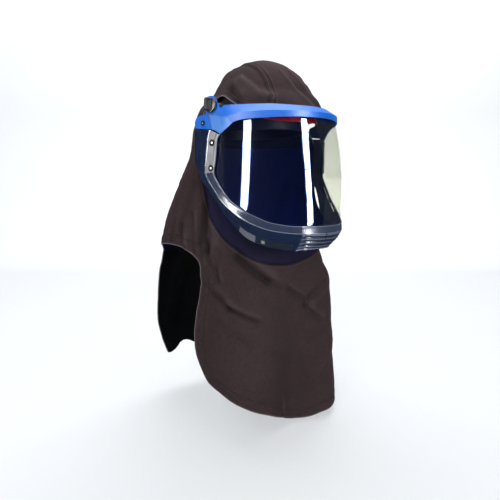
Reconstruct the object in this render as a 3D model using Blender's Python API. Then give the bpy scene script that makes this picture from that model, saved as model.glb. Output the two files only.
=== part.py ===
"""Arc flash hood: a cloth hood with front and back bibs over a hard cap, with a wrap-round face shield.

Metres, +Z up, -Y to the front, +X to the wearer's left. The origin is the crown of the wearer's head.
"""
import math

import bpy
import numpy as np
from mathutils import Matrix, Vector
from mathutils.bvhtree import BVHTree

# Walls and clearances
CLOTH = 0.0016
LINING = 0.0012
SEAM_GAP = 0.0004
CAP_WALL = 0.0022
BAND_WALL = 0.0016
LENS_WALL = 0.0020
GUARD_WALL = 0.0025
CUP_WALL = 0.0020
PLATE_WALL = 0.0012

# Hood sections from the crown down: height, then the radius from the upright axis through the crown
# at the front, cheek, side, shoulder and back, and how much lower the wearer's left side hangs
SECTION_ANGLES = np.radians([0, 45, 90, 135, 180])
HOOD_SECTIONS = (
    # z, front, cheek, side, shoulder, back, drop
    (0.0450, 0.000, 0.000, 0.000, 0.000, 0.000, 0),
    (0.0425, 0.028, 0.027, 0.026, 0.028, 0.030, 0),
    (0.0330, 0.052, 0.051, 0.049, 0.053, 0.056, 0),
    (0.0165, 0.076, 0.073, 0.070, 0.076, 0.082, 0),
    (-0.006, 0.097, 0.092, 0.087, 0.094, 0.103, 0),
    (-0.028, 0.111, 0.106, 0.101, 0.108, 0.118, 0),
    (-0.045, 0.126, 0.119, 0.116, 0.127, 0.127, 0),
    (-0.0605, 0.137, 0.122, 0.128, 0.137, 0.134, 0),
    (-0.078, 0.147, 0.128, 0.134, 0.143, 0.140, 0),
    (-0.110, 0.158, 0.138, 0.138, 0.149, 0.149, 0),
    (-0.150, 0.168, 0.144, 0.139, 0.160, 0.160, 0),
    (-0.200, 0.178, 0.143, 0.137, 0.184, 0.174, 0),
    (-0.225, 0.182, 0.141, 0.137, 0.194, 0.180, 0),
    (-0.250, 0.184, 0.136, 0.138, 0.202, 0.185, 0),
    (-0.275, 0.183, 0.130, 0.140, 0.210, 0.190, 0),
    (-0.290, 0.175, 0.125, 0.142, 0.213, 0.192, 0),
    (-0.305, 0.160, 0.119, 0.144, 0.216, 0.195, 0),
    (-0.322, 0.146, 0.118, 0.147, 0.220, 0.197, 0.001),
    (-0.340, 0.138, 0.126, 0.150, 0.223, 0.199, 0.004),
    (-0.370, 0.131, 0.140, 0.154, 0.232, 0.201, 0.010),
    (-0.420, 0.121, 0.151, 0.158, 0.243, 0.203, 0.020),
    (-0.500, 0.114, 0.159, 0.164, 0.249, 0.204, 0.040),
    (-0.600, 0.110, 0.164, 0.169, 0.248, 0.203, 0.040),
    (-0.720, 0.109, 0.168, 0.173, 0.242, 0.200, 0.040),
)
HOOD_COLUMNS = 42
HOOD_ROWS = 32
LINING_TOP = -0.110
FLAT_RADIUS = 0.17
ABOVE_ALL = 0.2

# Outlines on the hood's wall, half of each: angle from the front in degrees, height before the drop
WINDOW_OUTLINE = (
    (0, -0.0705), (35, -0.0700), (48, -0.066), (58, -0.057), (66, -0.046), (75, -0.037),
    (84, -0.035), (91, -0.041), (95, -0.053), (95, -0.070), (90, -0.087), (85, -0.105),
    (83, -0.150), (82, -0.178), (78, -0.195), (73, -0.211), (67, -0.228), (57, -0.247),
    (48, -0.262), (38, -0.272), (28, -0.279), (15, -0.284), (0, -0.286),
)
HEM_OUTLINE = (
    (0, -0.686), (10, -0.683), (19, -0.677), (32, -0.664), (45, -0.653), (62, -0.640),
    (71, -0.635), (77.5, -0.628), (83, -0.613), (86, -0.600), (88.5, -0.580), (89.5, -0.560),
    (89, -0.516), (87.5, -0.456), (87.5, -0.396), (89.5, -0.361), (96, -0.341), (105, -0.326),
    (114, -0.325), (123, -0.330),
    (130, -0.337), (135, -0.350), (137, -0.375), (138, -0.413), (137, -0.500), (136.5, -0.528),
    (138.5, -0.576), (142, -0.616), (145, -0.637), (150.5, -0.628), (154, -0.611),
    (157.5, -0.6065), (161, -0.612), (168, -0.625), (180, -0.630), (190, -0.625),
)

# Seam round the collar, all the way round because it is turned on the head: angle, height
SEAM_OUTLINE = (
    (-96, -0.108), (-96, -0.150), (-95, -0.177), (-92.5, -0.203), (-88, -0.250), (-81.5, -0.281),
    (-73.5, -0.307), (-55, -0.332), (-40, -0.3465), (-26, -0.352), (-13, -0.353), (-5.5, -0.349),
    (5.5, -0.341), (14, -0.332), (30, -0.320), (45, -0.307), (60, -0.292), (73, -0.276),
    (83, -0.250), (90, -0.212), (94, -0.180), (96, -0.150), (96, -0.108),
)

# Main folds: both ends as angle in degrees and height, half width, depth inwards
FOLDS = (
    (-93.5, -0.210, -86, -0.310, 0.018, 0.006),
    (-55, -0.333, -35.5, -0.376, 0.018, 0.006),
    (-77, -0.442, -39.5, -0.473, 0.017, 0.006),
    (-12, -0.405, 7, -0.424, 0.015, 0.004),
    (28.5, -0.396, 7.5, -0.432, 0.015, 0.004),
    (7.5, -0.432, 22.5, -0.462, 0.015, 0.004),
)

# Face shield: a U of this half width and depth in plan, bowed forward towards the mouth
U_HALF = 0.1506
U_DEPTH = 0.2683
U_BACK = 0.0899
U_POWER = 1.94
U_LEVEL = -0.090
U_LEAN = 0.3294
U_BOW = -1.241

# Lens edge, half of it: distance round the U from the middle, top, bottom
LENS_EDGE = (
    (0.0000, -0.0790, -0.2790), (0.0552, -0.0790, -0.2785), (0.0761, -0.0790, -0.2775),
    (0.1031, -0.0792, -0.2725), (0.1292, -0.0797, -0.2640), (0.1451, -0.0812, -0.2575),
    (0.1631, -0.0845, -0.2475), (0.1760, -0.0915, -0.2395), (0.1890, -0.0985, -0.2290),
    (0.2000, -0.1045, -0.2180), (0.2080, -0.1130, -0.2090), (0.2140, -0.1290, -0.2015),
    (0.2185, -0.1480, -0.1945), (0.2230, -0.1680, -0.1885),
)
LENS_COLUMNS = 24
LENS_LEVELS = 4
LENS_LEAST_STEP = 0.0015

# Brow guard, half of it: distance round the U, low edge, crease, top, how far the top leans in,
# how far the crease stands out
BROW_SECTIONS = (
    (0.0000, -0.0862, -0.0768, -0.0640, 0.0160, 0.0060),
    (0.0270, -0.0862, -0.0766, -0.0637, 0.0160, 0.0060),
    (0.0540, -0.0862, -0.0758, -0.0625, 0.0160, 0.0060),
    (0.0800, -0.0862, -0.0750, -0.0605, 0.0160, 0.0060),
    (0.1060, -0.0866, -0.0745, -0.0593, 0.0160, 0.0060),
    (0.1300, -0.0868, -0.0750, -0.0583, 0.0155, 0.0060),
    (0.1500, -0.0880, -0.0762, -0.0575, 0.0140, 0.0060),
    (0.1631, -0.0910, -0.0780, -0.0570, 0.0115, 0.0060),
    (0.1780, -0.0990, -0.0800, -0.0580, 0.0065, 0.0060),
    (0.1860, -0.1030, -0.0800, -0.0590, 0.0022, 0.0050),
    (0.1890, -0.1045, -0.0795, -0.0455, 0.0010, 0.0042),
    (0.1971, -0.1085, -0.0780, -0.0385, 0.0000, 0.0036),
    (0.2025, -0.1055, -0.0765, -0.0380, 0.0000, 0.0036),
    (0.2080, -0.1025, -0.0755, -0.0390, 0.0000, 0.0036),
    (0.2130, -0.1003, -0.0750, -0.0430, 0.0000, 0.0036),
    (0.2175, -0.0998, -0.0750, -0.0520, 0.0000, 0.0036),
    (0.2220, -0.0992, -0.0765, -0.0680, 0.0000, 0.0036),
    (0.2282, -0.0985, -0.0780, -0.0710, 0.0000, 0.0036),
    (0.2405, -0.0965, -0.0795, -0.0720, 0.0000, 0.0036),
    (0.2520, -0.0950, -0.0830, -0.0760, 0.0000, 0.0036),
    (0.2584, -0.0935, -0.0885, -0.0840, 0.0000, 0.0036),
)
GUARD_OFF = 0.0036
HOLE_REACH = 0.0120

# Chin cup, half of it from ear to chin: inner edge, ridge and outer edge, each as distance round
# the U and height, then how far the outer edge and the step above it stand out
CUP_SECTIONS = (
    (0.1978, -0.1105, 0.2150, -0.1015, 0.2600, -0.0965, 0.0030, 0.0030),
    (0.2046, -0.1200, 0.2227, -0.1135, 0.2665, -0.1200, 0.0026, 0.0032),
    (0.2101, -0.1380, 0.2299, -0.1370, 0.2720, -0.1400, 0.0022, 0.0034),
    (0.2144, -0.1560, 0.2354, -0.1555, 0.2743, -0.1560, 0.0018, 0.0035),
    (0.2214, -0.1790, 0.2405, -0.1800, 0.2690, -0.1780, 0.0010, 0.0035),
    (0.2150, -0.1930, 0.2335, -0.1940, 0.2575, -0.1965, 0.0000, 0.0033),
    (0.2014, -0.2110, 0.2190, -0.2125, 0.2406, -0.2165, -0.0025, 0.0026),
    (0.1854, -0.2275, 0.1995, -0.2330, 0.2220, -0.2400, -0.0060, 0.0014),
    (0.1677, -0.2395, 0.1812, -0.2460, 0.2035, -0.2605, -0.0100, 0.0000),
    (0.1451, -0.2515, 0.1590, -0.2590, 0.1770, -0.2825, -0.0135, -0.0010),
    (0.1292, -0.2580, 0.1400, -0.2690, 0.1460, -0.3025, -0.0145, -0.0015),
    (0.1031, -0.2670, 0.1060, -0.2800, 0.1040, -0.3150, -0.0150, -0.0020),
    (0.0700, -0.2722, 0.0700, -0.2850, 0.0670, -0.3205, -0.0150, -0.0020),
    (0.0480, -0.2730, 0.0480, -0.2862, 0.0465, -0.3205, -0.0150, -0.0020),
    (0.0360, -0.2732, 0.0360, -0.2866, 0.0350, -0.3175, -0.0100, 0.0015),
    (0.0000, -0.2735, 0.0000, -0.2870, 0.0000, -0.3170, -0.0095, 0.0020),
)
CUP_RIDGE = 0.0055
CUP_INNER = 0.0026
CUP_STEPS = 2
PLATE_SECTIONS = 4
SIDES = ((-1, "right"), (1, "left"))

# Small parts: distance round the U and height
RIVET_PLACES = ((0.2166, -0.1250), (0.2260, -0.1705))
EAR_PIN_PLACE = (0.2349, -0.0855)
KNOB_PLACE = (0.2025, -0.0570)
RIVET_RADIUS = 0.0026
EAR_PIN_RADIUS = 0.0030
STUD_HEIGHT = 0.0014
STUD_RIM = 0.6
STUD_TOP = 0.7
STUD_START = 0.020
STUD_SIDES = 12
SEAT_GAP = 0.0004
KNOB_RADIUS = 0.0120
KNOB_HUB = 0.0055
KNOB_STAND = 0.0020
KNOB_DISC = 0.0045
KNOB_GRIP = 0.0125
KNOB_GRIP_HALF = 0.0125
KNOB_GRIP_THICK = 0.0080
KNOB_EDGE = 0.0010
GRIP_TAPER = 0.86
GRIP_SINK = 0.0012
KNOB_SIDES = 16
SHAFT_RADIUS = 0.0030
SHAFT_HOLE = 0.0040
SOCKET_DEPTH = 0.0130
SHAFT_REACH = 0.0145
ADAPTER_FOOT = (0.030, 0.024)
ADAPTER_END = (0.015, 0.014)
ADAPTER_CHAMFER = 0.25
ADAPTER_MIDDLE = 0.012

# Hard cap sections: height, then radius at the front, cheek, side, shoulder and back
CAP_SECTIONS = (
    (0.0427, 0.000, 0.000, 0.000, 0.000, 0.000),
    (0.0400, 0.026, 0.025, 0.024, 0.026, 0.028),
    (0.0305, 0.050, 0.048, 0.045, 0.050, 0.054),
    (0.0140, 0.0735, 0.0685, 0.0645, 0.0715, 0.0795),
    (-0.008, 0.0940, 0.0860, 0.0800, 0.0900, 0.1000),
    (-0.030, 0.1060, 0.0960, 0.0910, 0.1020, 0.1130),
    (-0.052, 0.114, 0.102, 0.0965, 0.109, 0.120),
    (-0.064, 0.120, 0.105, 0.098, 0.111, 0.123),
    (-0.076, 0.130, 0.108, 0.099, 0.112, 0.125),
    (-0.092, 0.142, 0.113, 0.100, 0.114, 0.127),
)
CAP_OUTLINE = (
    (0, -0.0895), (22, -0.0885), (33, -0.083), (43, -0.0765), (52, -0.0755), (190, -0.0755),
)
CAP_COLUMNS = 28
CAP_ROWS = 9

# Headband and crown straps: height and radii in the same order
BAND_SECTIONS = (
    (0.0017, 0.000, 0.000, 0.000, 0.000, 0.000),
    (-0.001, 0.030, 0.028, 0.026, 0.028, 0.030),
    (-0.012, 0.060, 0.055, 0.050, 0.055, 0.062),
    (-0.032, 0.082, 0.074, 0.068, 0.077, 0.088),
    (-0.055, 0.094, 0.083, 0.076, 0.087, 0.100),
    (-0.066, 0.098, 0.086, 0.079, 0.090, 0.103),
    (-0.098, 0.100, 0.088, 0.080, 0.091, 0.104),
)
BAND_TOP = -0.066
STRAP_HALF = 0.012
BAND_COLUMNS = 30
BAND_ROWS = 7
KEY_ANGLES = (38, 142, -142, -38)
KEY_HEIGHT = -0.0720
KEY_SIZE = (0.014, 0.0060)
KEY_RADIUS = 0.097


def spline(stops, values, at):
    """Smooth curve through a row of values at each stop, read at any places."""
    stops = np.asarray(stops, float)
    values = np.asarray(values, float).reshape(len(stops), -1)
    steps = np.diff(stops)[:, None]
    chords = np.diff(values, axis=0) / steps
    slopes = np.vstack([chords[:1], (chords[1:] * steps[:-1] + chords[:-1] * steps[1:])
                        / (steps[1:] + steps[:-1]), chords[-1:]])
    at = np.asarray(at, float)
    k = np.clip(np.searchsorted(stops, at, side="right") - 1, 0, len(stops) - 2)
    step = steps[k]
    t = (at - stops[k])[..., None] / step
    start = values[k] * (1 + 2 * t) * (1 - t) ** 2 + slopes[k] * step * t * (1 - t) ** 2
    end = values[k + 1] * t ** 2 * (3 - 2 * t) - slopes[k + 1] * step * t ** 2 * (1 - t)
    return start + end


def unit(vectors):
    length = np.linalg.norm(vectors, axis=-1, keepdims=True)
    return vectors / np.maximum(length, 1e-12)


class Wall:
    """A closed-round wall: sections of five radii, joined round by a cosine series and downwards smoothly."""

    def __init__(self, sections):
        table = np.array([tuple(row) + (0,) * (7 - len(row)) for row in sections], float)
        orders = np.arange(len(SECTION_ANGLES))
        series = np.linalg.inv(np.cos(np.outer(SECTION_ANGLES, orders)))
        self.columns = np.column_stack([table[:, 0], table[:, 1:6] @ series.T, table[:, 6]])
        mean = table[:, 1:6].mean(axis=1)
        strides = np.hypot(np.diff(table[:, 0]), np.diff(mean))
        self.runs = np.concatenate([[0], np.cumsum(strides)])
        self.length = self.runs[-1]

    def height(self, run):
        return spline(self.runs, self.columns, run)[..., 0]

    def point(self, angle, run):
        read = spline(self.runs, self.columns, run)
        orders = np.arange(len(SECTION_ANGLES))
        radius = (read[..., 1:6] * np.cos(np.asarray(angle)[..., None] * orders)).sum(-1)
        z = read[..., 0] - read[..., 6] * np.sin(angle)
        return np.stack([radius * np.sin(angle), -radius * np.cos(angle), z], -1)


class Lattice:
    """Triangles over a wall, from its pole down, with vertices pulled onto the outlines that cut it."""

    def __init__(self, wall, columns, rows):
        self.wall = wall
        angle = np.linspace(-math.pi, math.pi, columns, endpoint=False)
        run = wall.length * np.arange(1, rows + 1) / rows
        grid = np.stack(np.meshgrid(run, angle, indexing="ij"), -1).reshape(-1, 2)[:, ::-1]
        self.places = np.vstack([[[0.0, 0.0]], grid])
        number = 1 + np.arange(rows * columns).reshape(rows, columns)
        ahead = np.roll(number, -1, axis=1)
        fan = np.column_stack([np.zeros(columns, int), number[0], ahead[0]])
        upper = np.stack([number[:-1], number[1:], ahead[1:]], -1).reshape(-1, 3)
        lower = np.stack([number[:-1], ahead[1:], ahead[:-1]], -1).reshape(-1, 3)
        self.faces = np.vstack([fan, upper, lower])
        pairs = np.vstack([self.faces[:, [0, 1]], self.faces[:, [1, 2]], self.faces[:, [2, 0]]])
        self.edges = np.unique(np.sort(pairs, axis=1), axis=0)
        self.edges = self.edges[self.edges[:, 0] > 0]
        self.pinned = np.zeros(len(self.places), bool)

    def pull_onto(self, measure):
        """Moves an end of each edge that the outline crosses onto the outline, the nearer end if it is free."""
        fixed = self.pinned.copy()
        on_line = np.zeros(len(fixed), bool)
        for _ in range(2):
            value = measure(self.places)
            value[on_line] = 0
            a, b = self.edges.T
            crossing = (value[a] * value[b] < 0) & ~(fixed[a] & fixed[b])
            a, b = a[crossing], b[crossing]
            share = value[a] / (value[a] - value[b])
            first = ((share < 0.5) | fixed[b]) & ~fixed[a]
            mover, other = np.where(first, a, b), np.where(first, b, a)
            share = np.where(first, share, 1 - share)
            step = self.places[other] - self.places[mover]
            step[:, 0] = (step[:, 0] + math.pi) % (2 * math.pi) - math.pi
            goal = self.places[mover] + share[:, None] * step
            order = np.argsort(-share)
            self.places[mover[order]] = goal[order]
            on_line[mover] = True
            fixed |= on_line
        self.pinned = fixed

    def centres(self):
        """Places of the triangles' middles, with the angle taken across the back seam where it runs."""
        corners = self.places[self.faces].copy()
        angle = corners[:, :, 0]
        first = angle[:, 1:2]
        corners[:, :, 0] = first + (angle - first + math.pi) % (2 * math.pi) - math.pi
        corners[self.faces[:, 0] == 0, 0, 0] = first[self.faces[:, 0] == 0, 0]
        middle = corners.mean(axis=1)
        middle[:, 0] = (middle[:, 0] + math.pi) % (2 * math.pi) - math.pi
        return middle


def on_wall(outline):
    """An outline's angle and height in metres along the wall: angle times a flat radius, height."""
    ring = np.array(outline, float)
    ring[:, 0] = np.radians(ring[:, 0]) * FLAT_RADIUS
    return ring


def mirrored(outline, closed_above=None):
    """Both halves of an outline as one closed ring along the wall."""
    half = on_wall(outline)
    ring = np.vstack([half[::-1] * [-1, 1], half[half[:, 0] > 0]])
    if closed_above is not None:
        ends = ring[[-1, 0]].copy()
        ends[:, 1] = closed_above
        ring = np.vstack([ring, ends])
    return ring


def distance_to(ring):
    """Function that gives each place's distance to a closed ring, negative inside it."""
    start, end = ring, np.roll(ring, -1, axis=0)
    along = end - start
    squared = (along ** 2).sum(axis=1)

    def measure(places, wall_height):
        point = np.column_stack([places[:, 0] * FLAT_RADIUS, wall_height])
        lead = point[:, None] - start
        share = np.clip((lead * along).sum(-1) / squared, 0, 1)
        near = np.linalg.norm(lead - share[..., None] * along, axis=-1).min(axis=1)
        x, y = point[:, :1], point[:, 1:]
        spans = (start[:, 1] > y) != (end[:, 1] > y)
        rise = np.where(along[:, 1] == 0, 1, along[:, 1])
        crossed = x < start[:, 0] + (y - start[:, 1]) / rise * along[:, 0]
        inside = (spans & crossed).sum(axis=1) % 2 == 1
        return np.where(inside, -near, near)

    return measure


def measured(wall, ring):
    measure = distance_to(ring)
    return lambda places: measure(places, wall.height(places[:, 1]))


def vertex_normals(points, faces):
    corner = points[faces]
    across = np.cross(corner[:, 1] - corner[:, 0], corner[:, 2] - corner[:, 0])
    total = np.zeros_like(points)
    for k in range(3):
        np.add.at(total, faces[:, k], across)
    return unit(total)


def largest_piece(faces):
    """The biggest set of faces joined edge to edge."""
    label = np.arange(faces.max() + 1)
    while True:
        low = label[faces].min(axis=1)
        fresh = label.copy()
        for k in range(3):
            np.minimum.at(fresh, faces[:, k], low)
        if (fresh == label).all():
            break
        label = fresh
    names, counts = np.unique(label[faces[:, 0]], return_counts=True)
    return faces[label[faces[:, 0]] == names[counts.argmax()]]


def without_pinches(faces):
    """Faces less those at a corner where two rims touch."""
    while True:
        rim, _ = rim_edges(faces)
        corner, count = np.unique(rim[:, 0], return_counts=True)
        pinched = corner[count > 1]
        if not len(pinched):
            return largest_piece(faces)
        edge_pairs = np.sort(rim, axis=1)
        keys = edge_pairs[:, 0] * (faces.max() + 1) + edge_pairs[:, 1]
        sides = np.sort(np.stack([faces[:, [0, 1]], faces[:, [1, 2]], faces[:, [2, 0]]], 1), axis=2)
        on_rim = np.isin(sides[..., 0] * (faces.max() + 1) + sides[..., 1], keys).sum(axis=1)
        touching = np.isin(faces, pinched).any(axis=1)
        loose = touching & (on_rim > 1)
        faces = faces[~loose] if loose.any() else faces[~(touching & (on_rim > 0))]


def rim_edges(faces):
    """Directed edges that only one face uses."""
    directed = np.vstack([faces[:, [0, 1]], faces[:, [1, 2]], faces[:, [2, 0]]])
    third = np.concatenate([faces[:, 2], faces[:, 0], faces[:, 1]])
    _, index, count = np.unique(np.sort(directed, axis=1), axis=0, return_inverse=True, return_counts=True)
    single = count[index.reshape(-1)] == 1
    return directed[single], third[single]


def trimmed_back(points, faces, gap):
    """Points with those on the rim moved inwards along the wall by the gap."""
    rim, third = rim_edges(faces)
    along = unit(points[rim[:, 1]] - points[rim[:, 0]])
    inward = points[third] - points[rim[:, 0]]
    inward = unit(inward - (inward * along).sum(-1, keepdims=True) * along)
    total = np.zeros_like(points)
    np.add.at(total, rim[:, 0], inward)
    np.add.at(total, rim[:, 1], inward)
    return points + gap * unit(total)


def add_mesh(name, points, faces):
    mesh = bpy.data.meshes.new(name)
    used = np.unique(np.concatenate([np.asarray(face) for face in faces]))
    number = np.full(len(points), -1)
    number[used] = np.arange(len(used))
    mesh.from_pydata(points[used].tolist(), [], [[int(number[v]) for v in face] for face in faces])
    mesh.validate()
    mesh.update()
    piece = bpy.data.objects.new(name, mesh)
    bpy.context.scene.collection.objects.link(piece)
    return piece


def add_wall(name, points, normals, faces, outer, inner):
    """Closed wall between two offsets along the normals, from faces that point outwards."""
    count = len(points)
    both = np.vstack([points + outer * normals, points + inner * normals])
    rim, _ = rim_edges(faces)
    sides = np.column_stack([rim[:, 1], rim[:, 0], rim[:, 0] + count, rim[:, 1] + count])
    shell = faces.tolist() + (faces[:, ::-1] + count).tolist() + sides.tolist()
    return add_mesh(name, both, shell)


def grid_faces(rows, columns):
    number = np.arange(rows * columns).reshape(rows, columns)
    quads = np.stack([number[:-1, :-1], number[:-1, 1:], number[1:, 1:], number[1:, :-1]], -1)
    quads = quads.reshape(-1, 4)
    return np.vstack([quads[:, :3], quads[:, [0, 2, 3]]])


def add_sheet(name, grid, wall, flip=False, lift=0.0):
    """Closed wall of the given thickness behind a grid of points, its outer face lifted off the grid."""
    rows, columns, _ = grid.shape
    faces = grid_faces(rows, columns)
    points = grid.reshape(-1, 3)
    if flip:
        faces = faces[:, ::-1]
    normals = vertex_normals(points, faces)
    return add_wall(name, points, normals, faces, lift, lift - wall)


def paint(piece, colour, roughness, metallic=0.0, alpha=1.0, smooth=35):
    """Gives a piece its own plain material and smooth shading up to an edge angle."""
    material = bpy.data.materials.new(piece.name)
    material.use_nodes = True
    shader = material.node_tree.nodes["Principled BSDF"]
    shader.inputs["Base Color"].default_value = (*colour, 1)
    shader.inputs["Roughness"].default_value = roughness
    shader.inputs["Metallic"].default_value = metallic
    shader.inputs["Alpha"].default_value = alpha
    piece.data.materials.clear()
    piece.data.materials.append(material)
    piece.data.shade_smooth()
    piece.data.set_sharp_from_angle(angle=math.radians(smooth))
    return piece


def fold_depth(places, height):
    """Depth of the main folds at each place: each fold is a soft groove along a straight line."""
    point = np.column_stack([places[:, 0] * FLAT_RADIUS, height])
    depth = np.zeros(len(places))
    for angle_1, z_1, angle_2, z_2, half_width, deep in FOLDS:
        start = np.array([math.radians(angle_1) * FLAT_RADIUS, z_1])
        line = np.array([math.radians(angle_2) * FLAT_RADIUS, z_2]) - start
        share = np.clip((point - start) @ line / (line @ line), 0, 1)
        away = np.linalg.norm(point - start - share[:, None] * line, axis=1)
        depth += deep * np.exp(-(away / half_width) ** 2)
    return depth


def make_cloth():
    """Outer hood, lining and window collar, cut from one lattice so that their edges meet."""
    wall = Wall(HOOD_SECTIONS)
    lattice = Lattice(wall, HOOD_COLUMNS, HOOD_ROWS)
    window = measured(wall, mirrored(WINDOW_OUTLINE))
    seam = measured(wall, on_wall(SEAM_OUTLINE))
    hem = measured(wall, mirrored(HEM_OUTLINE, closed_above=ABOVE_ALL))
    for outline in (window, seam, hem):
        lattice.pull_onto(outline)
    centre = lattice.centres()
    kept = (window(centre) > 0) & (hem(centre) < 0)
    in_seam = seam(centre) < 0
    points = wall.point(lattice.places[:, 0], lattice.places[:, 1])
    normals = vertex_normals(points, lattice.faces)
    height = wall.height(lattice.places[:, 1])
    points = points - normals * fold_depth(lattice.places, height)[:, None]
    normals = vertex_normals(points, lattice.faces)
    below = height[lattice.faces].max(axis=1) < LINING_TOP
    hood = without_pinches(lattice.faces[kept & ~in_seam])
    lining = without_pinches(lattice.faces[kept & ~in_seam & below])
    collar = without_pinches(lattice.faces[kept & in_seam])
    shell_edge = trimmed_back(points, hood, SEAM_GAP / 2)
    lining_edge = trimmed_back(points, lining, SEAM_GAP)
    shell = add_wall("hood_shell", shell_edge, normals, hood, 0, -CLOTH)
    paint(shell, (0.075, 0.055, 0.058), 0.85)
    start = -(CLOTH + SEAM_GAP)
    inside = add_wall("hood_lining", lining_edge, normals, lining, start, start - LINING)
    paint(inside, (0.012, 0.013, 0.018), 0.9)
    collar_edge = trimmed_back(points, collar, SEAM_GAP / 2)
    band = add_wall("window_collar", collar_edge, normals, collar, 0, -CLOTH)
    paint(band, (0.022, 0.020, 0.055), 0.8)


def u_angle(distance):
    """Angle parameter of the U at a distance round it from the middle."""
    sweep = np.linspace(-math.pi / 2, math.pi / 2, 721)
    along = np.stack(u_plan(sweep, 0.0), -1)
    length = np.concatenate([[0], np.cumsum(np.linalg.norm(np.diff(along, axis=0), axis=1))])
    return np.interp(distance, length - length[360], sweep)


def u_plan(sweep, off):
    side = (U_HALF + off) * np.sign(np.sin(sweep)) * np.abs(np.sin(sweep)) ** (2 / U_POWER)
    ahead = (U_DEPTH + off) * np.abs(np.cos(sweep)) ** (2 / U_POWER) - U_BACK
    return side, ahead


def visor(distance, z, off=0.0):
    """Point on the shield's U at a distance round it, a height, and an offset outwards."""
    side, ahead = u_plan(u_angle(distance), off)
    z = np.broadcast_to(z, side.shape)
    below = U_LEVEL - z
    return np.stack([side, -(ahead + U_LEAN * below + U_BOW * below ** 2), z], -1)


def visor_normal(distance, z):
    step = 0.002
    round_u = visor(distance + step, z) - visor(distance - step, z)
    up = visor(distance, z + step) - visor(distance, z - step)
    return unit(np.cross(round_u, up))


def both_sides(table):
    """Half table made whole: the mirrored rows first, with the distances round the U negated."""
    half = np.array(table, float)
    other = half[:0:-1].copy()
    other[:, 0] *= -1
    return np.vstack([other, half])


def make_face_shield():
    table = both_sides(LENS_EDGE)
    even = np.linspace(table[0, 0], table[-1, 0], LENS_COLUMNS)
    along = np.sort(np.concatenate([even, table[:, 0]]))
    along = along[np.concatenate([[True], np.diff(along) > LENS_LEAST_STEP])]
    edges = np.column_stack([np.interp(along, table[:, 0], table[:, k]) for k in (1, 2)])
    levels = np.linspace(0, 1, LENS_LEVELS)
    z = edges[:, :1] * (1 - levels) + edges[:, 1:] * levels
    grid = visor(np.repeat(along[:, None], len(levels), axis=1), z)
    lens = add_sheet("face_shield", grid, LENS_WALL)
    paint(lens, (0.86, 0.90, 0.78), 0.05, alpha=0.25)


def brow_grid():
    """Outer face of the brow guard: low edge, crease and top along the U."""
    table = both_sides(BROW_SECTIONS)
    along, low, crease, top, inset, bulge = table.T
    rows = [(low, np.full_like(low, GUARD_OFF)), (crease, bulge), (top, bulge - inset)]
    grid = [visor(along, z, off) for z, off in rows]
    return np.stack(grid, axis=1)


def make_brow_guard():
    guard = add_sheet("brow_guard", brow_grid(), GUARD_WALL, flip=True)
    for side in (-1, 1):
        cut_hole(guard, knob_frame(side), SHAFT_HOLE, (-HOLE_REACH, HOLE_REACH))
    paint(guard, (0.010, 0.130, 0.900), 0.28)


def cup_path(first, last, steps):
    """Rows of the cup's table between two sections, read smoothly."""
    table = np.array(CUP_SECTIONS)
    count = (last - first) * steps + 1
    return spline(np.arange(len(table)), table, np.linspace(first, last, count))


def cup_grid(rows, full=True):
    """Outer face of the chin cup: inner edge and ridge for each row, and if full its step and outer edge."""
    in_s, in_z, ridge_s, ridge_z, out_s, out_z, out_off, step_off = rows.T
    lines = [visor(in_s, in_z, CUP_INNER), visor(ridge_s, ridge_z, CUP_RIDGE)]
    if full:
        step_s, step_z = (ridge_s + out_s) / 2, (ridge_z + out_z) / 2
        lines += [visor(step_s, step_z, step_off), visor(out_s, out_z, out_off)]
    return np.stack(lines, axis=1)


def whole_cup():
    rows = cup_path(0, len(CUP_SECTIONS) - 1, CUP_STEPS)
    other = rows[::-1][1:].copy()
    other[:, [0, 2, 4]] *= -1
    return np.vstack([rows, other])


def make_chin_cup():
    cup = add_sheet("chin_cup", cup_grid(whole_cup()), CUP_WALL, flip=True)
    paint(cup, (0.55, 0.64, 0.80), 0.08, alpha=0.45)


def make_side_plates():
    for side, name in SIDES:
        rows = cup_path(0, PLATE_SECTIONS, CUP_STEPS)
        rows[:, [0, 2, 4]] *= side
        plate = add_sheet("side_plate_" + name, cup_grid(rows, full=False), PLATE_WALL,
                          flip=side > 0, lift=SEAT_GAP + PLATE_WALL)
        paint(plate, (0.55, 0.58, 0.62), 0.25, metallic=0.2)


def surface_frame(place, side, off):
    """Point on the U, a little off it, and its outward direction."""
    distance, z = np.array([side * place[0]]), np.array([place[1]])
    return visor(distance, z, off)[0], visor_normal(distance, z)[0]


def reach(piece, corners, direction):
    """How far corners can go along a direction before the first comes to the seat gap from a piece."""
    bpy.context.view_layer.update()
    tree = BVHTree.FromObject(piece, bpy.context.evaluated_depsgraph_get())
    hits = [tree.ray_cast(Vector(corner), Vector(direction))[3] for corner in corners]
    return min(way for way in hits if way is not None) - SEAT_GAP


def circle(point, axis, radius, sides):
    level, up = turned_frame(axis)
    turn = np.arange(sides)[:, None] * 2 * math.pi / sides
    return point + radius * (np.cos(turn) * level + np.sin(turn) * up)


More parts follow.
